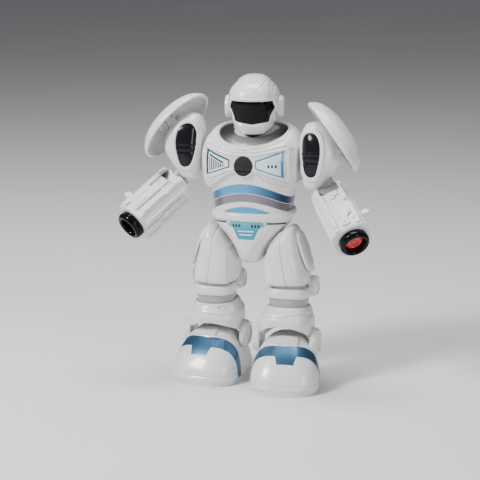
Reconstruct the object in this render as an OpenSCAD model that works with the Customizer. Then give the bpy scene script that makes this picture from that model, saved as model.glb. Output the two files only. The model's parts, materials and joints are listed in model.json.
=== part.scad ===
// Toy walking robot, standing. It faces -Y, +X is its left, and the floor is Z = 0.

/* [Body] */
// Height of the collar's seat above the floor
collar_z = 224; // [223:1:225]
// Centre of the torso behind the hip line
torso_y = 8; // [7:0.5:9]
// Half width of the chest
chest_half_w = 46; // [45:0.5:46.5]
// Wall of every moulded shell
wall = 2; // [1.6:0.1:2.4]
// Radius of the speaker grille
grille_r = 8.6; // [7:0.2:9]

/* [Head] */
// Half width of the helmet without its ear caps
helmet_half_w = 24; // [23.5:0.5:25]
// Turn of the head towards the robot's left
head_turn = 10; // [0:1:14]

/* [Arms] */
// Distance of the shoulder centre from the middle
shoulder_x = 65.5; // [65:0.5:67]
// Height of the shoulder centre
shoulder_z = 219; // [217:0.5:221]
// How much lower the left shoulder sits
left_drop = 5; // [0:0.5:6]
// Half width of the forearm block
block_half = 16.5; // [15.5:0.5:17]
// Radius of the muzzle
muzzle_r = 12.5; // [11:0.5:13]
// Length of the pauldron's oval
pauldron_l = 78; // [72:1:80]
// Width of the pauldron's oval
pauldron_w = 56; // [52:1:58]

/* [Legs] */
// Height of the hip axle
hip_z = 135; // [134:0.5:136]
// Height of the ankle pin
ankle_z = 41; // [40:0.5:42]
// Distance of the ankle from the middle
leg_x = 35.5; // [35:0.5:37]
// Stride: the left leg stands forward and the right leg back by this angle
stride = 4; // [0:1:5]
// Turn-out of each foot
toe_out = 8; // [0:1:10]

/* [Fits] */
// Radius of the shoulder and hip axles
axle_r = 4; // [3:0.5:5]
// Radial clearance of a turning shaft in its bore
run_gap = 0.05; // [0.02:0.01:0.1]

/* [Hidden] */
$fn = 48;
white = [0.93, 0.93, 0.92];
pale_grey = [0.72, 0.73, 0.74];
dark = [0.09, 0.09, 0.10];
blue = [0.24, 0.45, 0.62];
metal = [0.62, 0.63, 0.64];
teal = [0.10, 0.50, 0.62];

shoulder_y = 3;
shoulder_lift = 8;
elbow = [80, -4, 175];
forearm_turn = [-54, -24, 21];
pauldron_centre = [73, 6, 235];
pauldron_turn = [-40, 43.6, -28];
hip_y = 2;
foot_x = 36.5;
pin_r = 2.4;
hinge_z = 9.5;
disc_r = 12;
arm_bend = 27.5;
speaker_z = 206;
band_peak_z = 189;
roller_r = 7;
door_half_w = 17;
door_z = 176;
door_h = 38;
sole_h = 5;
crank_y = 6;
crank_z = 162;
gear_teeth = 36;
pinion_teeth = 10;
gear_module = 0.7;
motor_z = crank_z + (gear_teeth + pinion_teeth) * gear_module / 2 + 0.25;

// Where the swung leg carries its ankle pin
function ankle_y(side) = hip_y - hip_y * cos(stride) - side * (hip_z - ankle_z) * sin(stride);
function ankle_height(side) = hip_z - (hip_z - ankle_z) * cos(stride) + side * hip_y * sin(stride);

// A section is [z, centre x, centre y, half width, half depth, exponent, rise per x, rise per y].
torso_sections = [
    [162, 0, torso_y, 36.5, 28.5, 2.4, 0, 0.12],
    [170, 0, torso_y, 37.5, 29.5, 2.4, 0, 0.06],
    [180, 0, torso_y, 39, 31.5, 2.4, 0, 0],
    [185, 0, torso_y, 40, 33, 2.6, 0, 0],
    [188, 0, torso_y, chest_half_w - 1.5, 36, 3, 0, 0],
    [204, 0, torso_y, chest_half_w, 37, 3.4, 0, 0],
    [216, 0, torso_y, chest_half_w - 0.8, 36, 3.2, 0, 0.04],
    [225, 0, torso_y, chest_half_w - 3.5, 33.5, 2.8, 0, 0.14],
    [230.5, 0, torso_y, 36.5, 30.5, 2.4, 0, 0.24],
    [231.5, 0, torso_y, 31.5, 27.5, 2.1, 0, 0.3]
];
pelvis_sections = [
    [111, 0, 3, 3, 6, 2, 0, 0],
    [112.5, 0, 3, 8, 13, 2, 0, 0],
    [118, 0, 3, 12, 19, 2, 0, 0],
    [126, 0, 3, 15, 22.5, 2.1, 0, 0],
    [136, 0, 4, 22, 25, 2.2, 0, 0],
    [146, 0, 6, 32, 27, 2.3, 0, 0.05],
    [153, 0, torso_y, 36, 28.5, 2.3, 0, 0.1]
];
belt_sections = [
    [153, 0, torso_y, 36.8, 29, 2.3, 0, 0.12],
    [155, 0, torso_y, 38.8, 30.6, 2.3, 0, 0.12],
    [158, 0, torso_y, 39.6, 31.4, 2.3, 0, 0.12],
    [161, 0, torso_y, 38.8, 30.6, 2.3, 0, 0.12],
    [162.5, 0, torso_y, 37, 29, 2.3, 0, 0.12]
];
// Ring between the neckline and the neck
collar_sections = [
    [collar_z + 5.6, 0, torso_y, 32.3, 28.2, 2.1, 0, 0.3],
    [collar_z + 7.4, 0, torso_y, 29, 25, 2.1, 0, 0.28],
    [collar_z + 9.4, 0, torso_y + 1, 24, 21, 2, 0, 0.22],
    [collar_z + 10.2, 0, torso_y + 2, 19.5, 18, 2, 0, 0.18]
];
helmet_sections = [
    [237, 0, -2, 13, 17.5, 2.6, 0, 0.17],
    [240, 0, -1, 17.5, 22.5, 2.6, 0, 0.14],
    [246, 0, 0, helmet_half_w - 3.5, 27, 2.5, 0, 0.06],
    [254, 0, 0, helmet_half_w - 1, 30, 2.4, 0, 0],
    [262, 0, 0, helmet_half_w, 31, 2.3, 0, 0],
    [269, 0, 0, helmet_half_w - 1, 29.5, 2.3, 0, 0],
    [276, 0, 0, helmet_half_w - 5, 24.5, 2.2, 0, 0],
    [281, 0, 1, helmet_half_w - 11, 17, 2.1, 0, 0],
    [284.2, 0, 1, 7, 9, 2, 0, 0],
    [285, 0, 1, 1.5, 2, 2, 0, 0]
];
shoulder_sections = [
    [-32, -1, 0, 2, 2, 2, 0, 0],
    [-29.5, -1, 0, 9, 8.5, 2.2, 0, 0],
    [-20, 0, 0, 15, 14.5, 2.3, 0, 0],
    [-8, 0, 0, 18.7, 18, 2.3, 0, 0],
    [4, 0, 0, 19, 19, 2.3, 0, 0],
    [14, -1.5, 0, 17.4, 17.5, 2.3, 0, 0],
    [23, -3.5, 0, 13.5, 14, 2.2, 0, 0],
    [29, -5.5, 0, 8, 8.5, 2.1, 0, 0],
    [31, -6, 0, 1.5, 1.5, 2, 0, 0]
];
thigh_sections = [
    [94, 34, 2, 20.8, 22, 3, 0, 0],
    [100, 33.8, 2, 21.3, 23.5, 3, 0, 0],
    [112, 32.2, 2, 19.8, 23.8, 3, 0.1, 0],
    [122, 30.6, 2, 18, 23.5, 3, 0.3, 0],
    [132, 30.6, 2, 14.4, 22.5, 2.8, 0.6, 0],
    [139, 31.6, 2, 10.6, 18.5, 2.5, 0.8, 0],
    [143.5, 32, 2, 6.4, 12, 2.2, 0.88, 0],
    [145, 32.2, 2, 1.5, 2, 2, 0.88, 0]
];
shin_sections = [
    [44, leg_x, 0, 23.4, 24.5, 2.6, 0, 0],
    [52, leg_x, 0, 23.8, 25.2, 2.6, 0, 0],
    [60, leg_x, 1, 23.2, 24.6, 2.6, 0, 0],
    [67, leg_x + 0.2, 1.5, 21.4, 23.2, 2.6, 0, 0],
    [73, leg_x + 0.4, 2, 19.6, 21.5, 2.6, 0, 0]
];
// A foot section is [y, half width, height].
foot_sections = [
    [-49, 8, 8], [-47.5, 16, 14], [-43, 24.5, 22.5], [-36, 30, 31], [-28, 32, 38.5],
    [-20, 32.5, 45], [-11, 31, 50], [0, 29, 51], [11, 27.5, 47], [20, 26.5, 39],
    [28, 23.5, 28], [33, 18, 18], [35.5, 10, 10]
];
pauldron_sections = [
    [0, 0, 0, pauldron_l / 2, pauldron_w / 2, 2, 0, 0],
    [5, 0, 0, pauldron_l / 2 - 1.5, pauldron_w / 2 - 1.2, 2, 0, 0],
    [10, 0, 0, pauldron_l / 2 - 6, pauldron_w / 2 - 4.8, 2, 0, 0],
    [14.5, 0, 0, pauldron_l / 2 - 15, pauldron_w / 2 - 12, 2, 0, 0],
    [17, 0, 0, pauldron_l / 2 - 26, pauldron_w / 2 - 19, 2, 0, 0],
    [17.8, 0, 0, 1.5, 1.5, 2, 0, 0]
];

// ---- Shape functions ----

function signed_power(v, p) = sign(v) * pow(abs(v), p);

// Point of a section at an angle, counted from +X towards +Y
function section_point(s, a) =
    let (
        x = s[3] * signed_power(cos(a), 2 / s[5]),
        y = s[4] * signed_power(sin(a), 2 / s[5])
    )
    [s[1] + x, s[2] + y, s[0] + s[6] * x + s[7] * y];

function rings(sections, angles) = [for (s = sections) [for (a = angles) section_point(s, a)]];

function spread(from, to, steps) = [for (i = [0:steps]) from + (to - from) * i / steps];

// The same sections moved inwards by t along the outline's normal, or outwards where t is negative
function inset_sections(sections, t) = [
    for (i = [0:len(sections) - 1])
        let (
            s = sections[i],
            low = sections[max(i - 1, 0)],
            high = sections[min(i + 1, len(sections) - 1)],
            rise = high[0] - low[0],
            run = (high[3] + high[4] - low[3] - low[4]) / 2,
            slope = norm([rise, run])
        )
        [
            s[0] + t * run / slope, s[1], s[2],
            max(0.6, s[3] - t * rise / slope), max(0.6, s[4] - t * rise / slope),
            s[5], s[6], s[7]
        ]
];

// One section read off between those in the list
function section_at(sections, z) =
    [for (k = [0:7]) lookup(z, [for (s = sections) [s[0], s[k]]])];

// Faces of a thick patch: rows of outer points, then as many rows of inner points
function patch_faces(rows, cols, closed) =
    let (
        n = rows * cols,
        last = closed ? cols - 1 : cols - 2,
        strips = [
            for (i = [0:rows - 2], j = [0:last])
                let (a = i * cols + j, b = i * cols + (j + 1) % cols, c = b + cols, d = a + cols)
                each [[a, d, c], [a, c, b], [n + a, n + b, n + c], [n + a, n + c, n + d]]
        ],
        top = (rows - 1) * cols,
        ends = [
            for (j = [0:last])
                let (a = j, b = (j + 1) % cols)
                each [
                    [a, b, n + b], [a, n + b, n + a],
                    [top + b, top + a, n + top + a], [top + b, n + top + a, n + top + b]
                ]
        ],
        sides = closed ? [] : [
            for (i = [0:rows - 2])
                let (a = i * cols, d = a + cols, b = a + cols - 1, c = b + cols)
                each [
                    [d, a, n + a], [d, n + a, n + d],
                    [b, c, n + c], [b, n + c, n + b]
                ]
        ]
    )
    concat(strips, ends, sides);

module patch(outer, inner, closed = false) {
    points = concat([for (r = outer) each r], [for (r = inner) each r]);
    polyhedron(points, patch_faces(len(outer), len(outer[0]), closed), convexity = 8);
}

module shell(sections, angles, closed = false, t = wall) {
    patch(rings(sections, angles), rings(inset_sections(sections, t), angles), closed);
}

// Solid with its first and last ring as flat ends
module loft(sections, angles) {
    rows = len(sections);
    cols = len(angles);
    points = [for (r = rings(sections, angles)) each r];
    strips = [
        for (i = [0:rows - 2], j = [0:cols - 1])
            let (a = i * cols + j, b = i * cols + (j + 1) % cols, c = b + cols, d = a + cols)
            each [[a, d, c], [a, c, b]]
    ];
    bottom = [for (j = [0:cols - 1]) j];
    top = [for (j = [cols - 1:-1:0]) (rows - 1) * cols + j];
    polyhedron(points, concat(strips, [bottom], [top]), convexity = 4);
}

function around(n) = [for (i = [0:n - 1]) 360 * i / n];

front_half = spread(180, 360, 14);
rear_half = spread(0, 180, 14);

module on_side(side) {
    mirror([side < 0 ? 1 : 0, 0, 0]) children();
}

module arm(side) {
    on_side(side) translate([0, 0, side > 0 ? -left_drop : 0]) children();
}

module leg(side) {
    on_side(side) translate([0, hip_y, hip_z]) rotate([-side * stride, 0, 0]) translate([0, -hip_y, -hip_z])
        children();
}

module along_x(x0, x1, r) {
    translate([x0, 0, 0]) rotate([0, 90, 0]) cylinder(h = x1 - x0, r = r);
}

module along_y(y0, y1, r) {
    translate([0, y1, 0]) rotate([90, 0, 0]) cylinder(h = y1 - y0, r = r);
}

// ---- Head ----

module in_head() {
    translate([0, torso_y + 2, 0]) rotate([0, 0, head_turn]) children();
}

module visor_outline() {
    polygon([[-19.5, 265.5], [19.5, 265.5], [21, 259], [17, 252], [16, 248.5], [0, 246],
        [-16, 248.5], [-17, 252], [-21, 259]]);
}

module helmet_front() {
    color(white) in_head() difference() {
        shell(helmet_sections, front_half);
        translate([0, -10, 0]) rotate([90, 0, 0]) linear_extrude(30) visor_outline();
    }
}

module helmet_rear() {
    color(white) in_head() shell(helmet_sections, rear_half);
}

// The visor sits just inside the helmet's wall, behind the opening
module visor() {
    visor_z = spread(244, 267.5, 5);
    seat = inset_sections(helmet_sections, wall + 0.05);
    back = inset_sections(helmet_sections, wall + 1.6);
    rows = [for (z = visor_z) section_at(seat, z)];
    inner = [for (z = visor_z) section_at(back, z)];
    color(dark) in_head() patch(rings(rows, spread(207, 333, 10)), rings(inner, spread(207, 333, 10)));
}

module ear_caps() {
    color(white) in_head() for (side = [-1, 1])
        on_side(side) translate([helmet_half_w - 0.6, 2, 256]) rotate([0, 90, 0]) {
            cylinder(h = 2.6, r = 10.5);
            translate([0, 0, 2.6]) cylinder(h = 1.2, r1 = 10.5, r2 = 8.5);
        }
}

module neck_stem() {
    color(dark) translate([0, torso_y + 2, collar_z]) {
        translate([0, 0, -4]) cylinder(h = 26, r = 10);
        translate([0, 0, -8]) cylinder(h = 4, r = 12.5);
        translate([0, 0, 21]) cylinder(h = 2, r = 18);
    }
}

// ---- Torso ----

module collar() {
    color(metal) {
        shell(collar_sections, around(36), closed = true, t = 1.6);
        difference() {
            loft([
                [collar_z + 3.6, 0, torso_y, 31.5, 27.4, 2.1, 0, 0.3],
                [collar_z + 6, 0, torso_y, 31.5, 27.4, 2.1, 0, 0.3]
            ], around(36));
            translate([0, torso_y + 2, collar_z - 20]) cylinder(h = 40, r = 10 + run_gap);
        }
    }
}

module shoulder_bores() {
    for (side = [-1, 1]) arm(side) translate([0, shoulder_y, shoulder_z]) along_x(30, 60, axle_r + run_gap);
}

module torso_front() {
    color(white) difference() {
        shell(torso_sections, front_half);
        shoulder_bores();
        translate([0, 0, speaker_z]) along_y(-60, 0, 7);
    }
}

module torso_rear() {
    color(white) difference() {
        shell(torso_sections, rear_half);
        shoulder_bores();
        translate([-door_half_w - 0.4, 20, door_z - 0.4]) cube([2 * door_half_w + 0.8, 40, door_h + 0.8]);
        translate([24, 20, 196]) cube([6, 40, 12]);
    }
}

// Sheet lying on the torso, from z = low(x) to high(x), over a range of x
function front_y(z, x) =
    let (s = section_at(torso_sections, z))
    s[2] - s[4] * pow(max(0, 1 - pow(abs(x / s[3]), s[5])), 1 / s[5]);

module torso_sheet(corners, x_steps, z_steps, base, thick) {
    // corners = [x0, low0, high0, x1, low1, high1]
    cells = [
        for (k = [0:z_steps])
            [
                for (i = [0:x_steps])
                    let (
                        f = i / x_steps,
                        x = corners[0] + (corners[3] - corners[0]) * f,
                        low = corners[1] + (corners[4] - corners[1]) * f,
                        high = corners[2] + (corners[5] - corners[2]) * f,
                        z = low + (high - low) * k / z_steps
                    )
                    [x, front_y(z, x), z]
            ]
    ];
    patch(
        [for (r = cells) [for (p = r) p - [0, base + thick, 0]]],
        [for (r = cells) [for (p = r) p - [0, base, 0]]]
    );
}

module chest_stickers() {
    color(teal) {
        torso_sheet([-33.5, 197, 219.5, -13.5, 203, 210.5], 5, 4, 0.1, 0.5);
        torso_sheet([13.5, 203, 210.5, 33.5, 197, 219.5], 5, 4, 0.1, 0.5);
    }
}

module speaker_grille() {
    front = front_y(speaker_z, 0);
    color(dark) translate([0, 0, speaker_z]) {
        along_y(front - 1.6, front - 0.2, grille_r);
        along_y(front - 0.3, front + wall + 0.6, 6.9);
    }
}

module loudspeaker() {
    front = front_y(speaker_z, 0) + wall + 1;
    color(metal) translate([0, 0, speaker_z]) {
        along_y(front, front + 3, 14);
        along_y(front + 3, front + 7, 8);
    }
}

module wrapped_band(low, high, sag, drop, thick, reach) {
    skin = inset_sections(torso_sections, -thick);
    under = inset_sections(torso_sections, -0.1);
    angles = spread(270 - reach, 270 + reach, 20);
    levels = [0, 0.5, 1];
    function height(a, f) =
        let (c = abs(cos(a))) low + (high - low) * f - sag * c * c - drop * c * c * f;
    patch(
        [for (f = levels) [for (a = angles) section_point(section_at(skin, height(a, f)), a)]],
        [for (f = levels) [for (a = angles) section_point(section_at(under, height(a, f)), a)]]
    );
}

module abdomen_bands() {
    color(blue) wrapped_band(181.2, band_peak_z, 9, 2, 0.9, 88);
    color(metal) wrapped_band(173.5, 181, 8, 1, 0.7, 88);
}

module belly_lens() {
    color(blue) for (side = [-1, 1])
        on_side(side) torso_sheet([0.05, 163.4, 169.4, 20, 164.6, 166.2], 6, 2, 0.1, 0.7);
}

module belt_ring() {
    color(white) patch(
        rings(belt_sections, around(36)),
        rings([for (s = belt_sections) [s[0], s[1], s[2], 35, 27, s[5], s[6], s[7]]], around(36)),
        closed = true
    );
}

module belt_badge() {
    skin = inset_sections(pelvis_sections, -0.6);
    under = inset_sections(pelvis_sections, -0.1);
    levels = spread(0, 1, 5);
    function level_z(f) = 139.5 + 12 * f;
    function reach(f) = lookup(f, [[0, 16], [0.55, 21], [0.8, 37], [1, 33]]);
    function ring_row(sections, f) =
        [for (a = spread(270 - reach(f), 270 + reach(f), 6)) section_point(section_at(sections, level_z(f)), a)];
    color(teal) patch([for (f = levels) ring_row(skin, f)], [for (f = levels) ring_row(under, f)]);
}

module hip_bores() {
    translate([0, hip_y, hip_z]) along_x(-40, 40, axle_r + run_gap);
}

module pelvis_front() {
    color(white) difference() {
        shell(pelvis_sections, front_half);
        hip_bores();
    }
}

module pelvis_rear() {
    color(white) difference() {
        shell(pelvis_sections, rear_half);
        hip_bores();
    }
}

// ---- Inside the torso ----

module circuit_board() {
    color([0.10, 0.32, 0.18]) translate([-20, -8, 190]) cube([40, 1.6, 30]);
    color(dark) {
        translate([-12, -10, 204]) cube([10, 2, 10]);
        translate([4, -11, 196]) cube([8, 3, 5]);
    }
}

module battery_box() {
    color(dark) translate([-18.6, 21, 170.4]) difference() {
        cube([37.2, 11.6, 45.2]);
        translate([1.4, 1.4, 1.4]) cube([34.4, 20, 50]);
    }
}

// Three cells side by side, each with its button end up
module battery_cells() {
    color(blue) for (i = [-1:1]) translate([11.6 * i, 27.7, 172]) {
        cylinder(h = 43.3, r = 5.25);
        translate([0, 0, 43.3]) cylinder(h = 1.2, r = 1.9);
    }
}

module battery_door() {
    color(white) intersection() {
        shell(torso_sections, spread(40, 140, 12));
        translate([-door_half_w, 20, door_z]) cube([2 * door_half_w, 40, door_h]);
    }
}

module case_screws() {
    color(metal) for (p = [[-30, 185], [30, 185], [-28, 222], [28, 222], [0, 219]])
        translate([p[0], 0, p[1]]) {
            y = 2 * torso_y - front_y(p[1], p[0]) - 2.6;
            along_y(y - 6, y, 1.3);
            along_y(y, y + 2, 2.6);
        }
}

module gearbox_frame() {
    color(pale_grey) for (side = [-1, 1]) on_side(side) {
        translate([11, -6, 141]) difference() {
            cube([2, 18, 44]);
            translate([0, 12, crank_z - 141]) along_x(-1, 3, 2.5 + run_gap);
        }
    }
    color(pale_grey) for (p = [[-4, 143], [10, 143]])
        translate([0, p[0], p[1]]) along_x(-11, 11, 1.8);
}

// Spur gear about X, with flat-sided teeth
module spur(teeth, width) {
    pitch_r = teeth * gear_module / 2;
    root_r = pitch_r - 1.25 * gear_module;
    tip_r = pitch_r + 0.85 * gear_module;
    step = 360 / teeth;
    rotate([90, 0, 90]) linear_extrude(width) polygon([
        for (i = [0:teeth - 1])
            each [
                for (k = [[-0.30, root_r], [-0.12, tip_r], [0.12, tip_r], [0.30, root_r]])
                    k[1] * [cos((i + k[0]) * step), sin((i + k[0]) * step)]
            ]
    ]);
}

module crank_gear() {
    color(pale_grey) translate([0, crank_y, crank_z]) {
        difference() {
            spur(gear_teeth, 3);
            along_x(-1, 4, 2.4);
        }
        along_x(-16, 16, 2.5);
        for (side = [-1, 1]) on_side(side) {
            along_x(16, 18, 7);
            translate([0, side * 4, 0]) along_x(18, 21, 1.5);
        }
    }
}

module motor_pinion() {
    color(metal) translate([0, crank_y, motor_z]) {
        spur(pinion_teeth, 3);
        along_x(-5, 0, 1);
    }
}

module drive_motor() {
    color(metal) translate([0, crank_y, motor_z]) difference() {
        intersection() {
            along_x(-10.9, -1, 10);
            translate([-12, -12, -7.5]) cube([12, 24, 15]);
        }
        along_x(-6, 0, 1 + run_gap);
    }
}

module power_switch() {
    color(dark) {
        translate([24.6, 37, 196.4]) cube([4.8, 8, 5]);
        translate([22.5, 35.2, 194.5]) cube([9, 2, 9]);
    }
}

// ---- Arms, drawn on the left and mirrored for the right ----

module in_shoulder() {
    translate([shoulder_x, shoulder_y, shoulder_z]) rotate([-shoulder_lift, 0, 0]) children();
}

module at_pauldron() {
    translate(pauldron_centre) rotate(pauldron_turn) children();
}

module shoulder_shell() {
    color(white) {
        difference() {
            in_shoulder() shell(shoulder_sections, around(24), closed = true);
            in_forearm() rotate([arm_bend, 0, 0]) translate([0, 0, 10]) cylinder(h = 27.05, r = 8);
            in_shoulder() along_x(-40, 0, axle_r);
        }
        in_shoulder() along_x(-28, -14, axle_r);
        at_pauldron() difference() {
            union() {
                translate([-3.6, -4, 2]) cube([9.2, 8, hinge_z - 2]);
                translate([0, 0, hinge_z]) along_x(-3.6, 5.6, 4);
            }
            translate([0, 0, hinge_z]) along_x(-5, 7, 1.5 + run_gap);
        }
    }
}

module shoulder_inset() {
    skin = inset_sections(shoulder_sections, -0.5);
    under = inset_sections(shoulder_sections, 0.02);
    levels = [-19, -14, -6, 4, 12, 17, 20];
    function reach(z) = lookup(z, [[-19, 6], [-14, 17], [-6, 23], [4, 27], [12, 30], [17, 27], [20, 10]]);
    function inset_row(sections, z) =
        [for (a = spread(256 - reach(z), 256 + reach(z), 6)) section_point(section_at(sections, z), a)];
    color(dark) in_shoulder()
        patch([for (z = levels) inset_row(skin, z)], [for (z = levels) inset_row(under, z)]);
}

module upper_arm() {
    color(pale_grey) in_forearm() {
        rotate([arm_bend, 0, 0]) {
            along_x(-9, 9, 8);
            translate([-9, -6.5, 0]) cube([18, 13, 18]);
            translate([0, 0, 17]) cylinder(h = 20, r = 7.9);
        }
        along_x(-block_half + 1, block_half - 1, pin_r);
    }
}

module in_forearm() {
    translate(elbow) rotate(forearm_turn) children();
}

module forearm_shell() {
    back_z = 11;
    front_z = -46;
    color(white) in_forearm() difference() {
        translate([0, 0, front_z]) linear_extrude(back_z - front_z) polygon(block_outline(block_half, 4));
        translate([0, 0, front_z + wall]) linear_extrude(back_z - front_z - 2 * wall)
            polygon(block_outline(block_half - wall, 3.2));
        translate([0, 0, front_z - 1]) cylinder(h = 6, r = muzzle_r + 0.1);
        translate([-9.3, -20, -11]) cube([18.6, 29.5, 30]);
        translate([block_half - 5, -11.2, -33.2]) cube([8, 6.4, 6.4]);
        translate([-20, 10, -60]) cube([40, 0.1, 80]);
        along_x(-20, 20, pin_r + run_gap);
    }
}

function block_outline(half, cut) = [
    [-half + cut, -half], [half - cut, -half], [half, -half + cut], [half, half - cut],
    [half - cut, half], [-half + cut, half], [-half, half - cut], [-half, -half + cut]
];

module muzzle() {
    color(dark) in_forearm() translate([0, 0, -54]) rotate_extrude()
        polygon([[8.6, 0], [muzzle_r - 1, 0], [muzzle_r, 1.5], [muzzle_r, 16], [8.6, 16]]);
}

module trigger() {
    color(white) in_forearm() translate([block_half, -8, -30]) {
        translate([-3, -3, -3]) cube([10.5, 6, 6]);
        translate([-wall - 1.6, -2.8, -4.5]) cube([1.5, 7.3, 9]);
    }
}

module disc() {
    color([0.75, 0.10, 0.10]) in_forearm() translate([0, 0, -49]) cylinder(h = 4, r = 8.2);
}

module pauldron() {
    color(white) at_pauldron() {
        shell(pauldron_sections, around(28), closed = true);
        for (x = [-8.1, 5.9]) translate([x, -4.5, 7.4]) cube([4.2, 9, 9.6]);
        translate([0, 0, hinge_z]) along_x(-6, 8, 1.5);
    }
}

// ---- Legs, drawn on the left and mirrored for the right ----

module thigh_shell(angles) {
    shell(thigh_sections, angles);
}

module thigh_outer() {
    color(white) {
        thigh_shell(spread(-90, 90, 12));
        hip_plate();
    }
}

// Curved plate that stands off the outside of the hip
module hip_plate() {
    levels = spread(0, 1, 5);
    function plate_z(f) = 104 + 38 * f;
    function reach(f) = lookup(f, [[0, 14], [0.3, 24], [0.7, 26], [1, 14]]);
    function plate_row(f, gap) =
        let (s = section_at(thigh_sections, plate_z(f)))
        [
            for (a = spread(-reach(f), reach(f), 5))
                [s[1] + (s[3] + gap) * cos(a), s[2] + (s[4] + 2) * sin(a), plate_z(f) + 3]
        ];
    patch([for (f = levels) plate_row(f, 4)], [for (f = levels) plate_row(f, -0.5)]);
}

module thigh_inner() {
    color(white) {
        difference() {
            thigh_shell(spread(90, 270, 12));
            translate([0, hip_y, hip_z]) along_x(0, 60, axle_r);
        }
        translate([0, hip_y, hip_z]) along_x(17, 36, axle_r);
    }
}

module knee_core() {
    knee_x = leg_x + 0.8;
    color(white) translate([knee_x, 2, 0]) {
        translate([0, 0, 86]) knee_ring(19.3, 21, 4.5);
        for (side = [-1, 1]) on_side(side) translate([0, 11, 91]) along_x(18, 23, 9.4);
    }
    color(pale_grey) loft([
        [70, knee_x, 2, 16.5, 18.5, 2.4, 0, 0],
        [81, knee_x, 2, 17.3, 19, 2.4, 0, 0],
        [93.5, knee_x, 2, 17, 19, 2.6, 0, 0]
    ], around(24));
}

// Rounded band around the knee
module knee_ring(rx, ry, half) {
    loft([
        [-half, 0, 0, rx - 3, ry - 3, 2.6, 0, 0],
        [-half * 0.5, 0, 0, rx - 0.6, ry - 0.6, 2.6, 0, 0],
        [half * 0.5, 0, 0, rx, ry, 2.6, 0, 0],
        [half, 0, 0, rx - 3, ry - 3, 2.6, 0, 0]
    ], around(24));
}

module shin_shroud() {
    outer = shin_sections;
    inner = inset_sections(shin_sections, wall);
    angles = around(32);
    // The lower edge rises in an arch over the instep and, less, over the heel
    function lift(a) = 13 * pow(max(0, -sin(a)), 1.5) + 6 * pow(max(0, sin(a)), 1.5);
    function row(sections, i) =
        [
            for (a = angles)
                let (p = section_point(sections[i], a), f = i / (len(sections) - 1))
                [p[0], p[1], p[2] + lift(a) * (1 - f)]
        ];
    count = len(outer) - 1;
    color(white) {
        patch([for (i = [0:count]) row(outer, i)], [for (i = [0:count]) row(inner, i)], closed = true);
        translate([leg_x, 0, ankle_z]) {
            for (side = [-1, 1]) on_side(side) {
                along_x(23.9, 28.6, disc_r);
                along_x(21.2, 24, 7);
            }
            along_x(-24, 24, pin_r);
        }
    }
}

// The foot stays flat and goes with the ankle as the leg swings
module in_foot(side) {
    on_side(side) translate([foot_x, ankle_y(side), 0]) rotate([0, 0, toe_out]) children();
}

function foot_rows(rows, grow) = [
    for (s = rows)
        [
            for (t = spread(0, 180, 14))
                [
                    (s[1] + grow) * signed_power(cos(t), 0.85),
                    s[0],
                    sole_h + (s[2] - sole_h + grow) * signed_power(sin(t), 0.8)
                ]
        ]
];

function foot_at(y) =
    [for (k = [0:2]) k == 0 ? y : lookup(y, [for (s = foot_sections) [s[0], s[k]]])];

// Rows run from the toe to the heel, so the first and last are pulled in to close the shoe
module foot_shell(side) {
    last = len(foot_sections) - 1;
    inner = [
        for (i = [0:last])
            let (s = foot_sections[i], end = i == 0 ? wall : i == last ? -wall : 0)
            [s[0] + end, max(2.5, s[1]), s[2]]
    ];
    color(white) difference() {
        in_foot(side) patch(foot_rows(foot_sections, 0), foot_rows(inner, -wall));
        on_side(side) translate([leg_x, ankle_y(side), ankle_height(side)]) {
            along_x(-40, 40, pin_r + run_gap);
            for (k = [-1, 1]) on_side(k) along_x(20.9, 40, disc_r + 0.4);
        }
    }
}

module foot_band(side) {
    rows = [for (y = [-30, -27, -24, -21]) foot_at(y)];
    color(blue) in_foot(side) patch(foot_rows(rows, 0.7), foot_rows(rows, 0.1));
}

module sole_plate(side) {
    color(pale_grey) in_foot(side) difference() {
        union() {
            linear_extrude(sole_h - 0.1) polygon(concat(
                [for (s = foot_sections) [s[1] - 1, s[0]]],
                [for (i = [len(foot_sections) - 1:-1:0]) [1 - foot_sections[i][1], foot_sections[i][0]]]
            ));
            for (x = [-14, 11]) translate([x, -4, 0]) cube([3, 8, 11]);
        }
        translate([-11, -9, -1]) cube([22, 18, 20]);
        translate([0, 0, roller_r + 0.2]) along_x(-20, 20, 1.5 + run_gap);
    }
}

module foot_roller(side) {
    color(dark) in_foot(side) translate([0, 0, roller_r + 0.2]) {
        along_x(-9, -3, roller_r);
        along_x(3, 9, roller_r);
        along_x(-13.5, 13.5, 1.5);
    }
}

// ---- Parts ----

helmet_front();
helmet_rear();
visor();
ear_caps();
neck_stem();
collar();
torso_front();
torso_rear();
chest_stickers();
speaker_grille();
loudspeaker();
abdomen_bands();
belly_lens();
belt_ring();
belt_badge();
pelvis_front();
pelvis_rear();
circuit_board();
battery_box();
battery_cells();
battery_door();
case_screws();
gearbox_frame();
drive_motor();
motor_pinion();
crank_gear();
power_switch();
arm(-1) shoulder_shell();  // right_shoulder_shell
arm(-1) shoulder_inset();  // right_shoulder_inset
arm(-1) upper_arm();  // right_upper_arm
arm(-1) pauldron();  // right_pauldron
arm(-1) forearm_shell();  // right_forearm_shell
arm(-1) muzzle();  // right_muzzle
arm(-1) trigger();  // right_trigger
arm(1) shoulder_shell();  // left_shoulder_shell
arm(1) shoulder_inset();  // left_shoulder_inset
arm(1) upper_arm();  // left_upper_arm
arm(1) pauldron();  // left_pauldron
arm(1) forearm_shell();  // left_forearm_shell
arm(1) muzzle();  // left_muzzle
arm(1) trigger();  // left_trigger
arm(1) disc();  // left_disc
leg(-1) thigh_outer();  // right_thigh_outer
leg(-1) thigh_inner();  // right_thigh_inner
leg(-1) knee_core();  // right_knee_core
leg(-1) shin_shroud();  // right_shin_shroud
foot_shell(-1);  // right_foot_shell
foot_band(-1);  // right_foot_band
sole_plate(-1);  // right_sole_plate
foot_roller(-1);  // right_foot_roller
leg(1) thigh_outer();  // left_thigh_outer
leg(1) thigh_inner();  // left_thigh_inner
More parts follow.
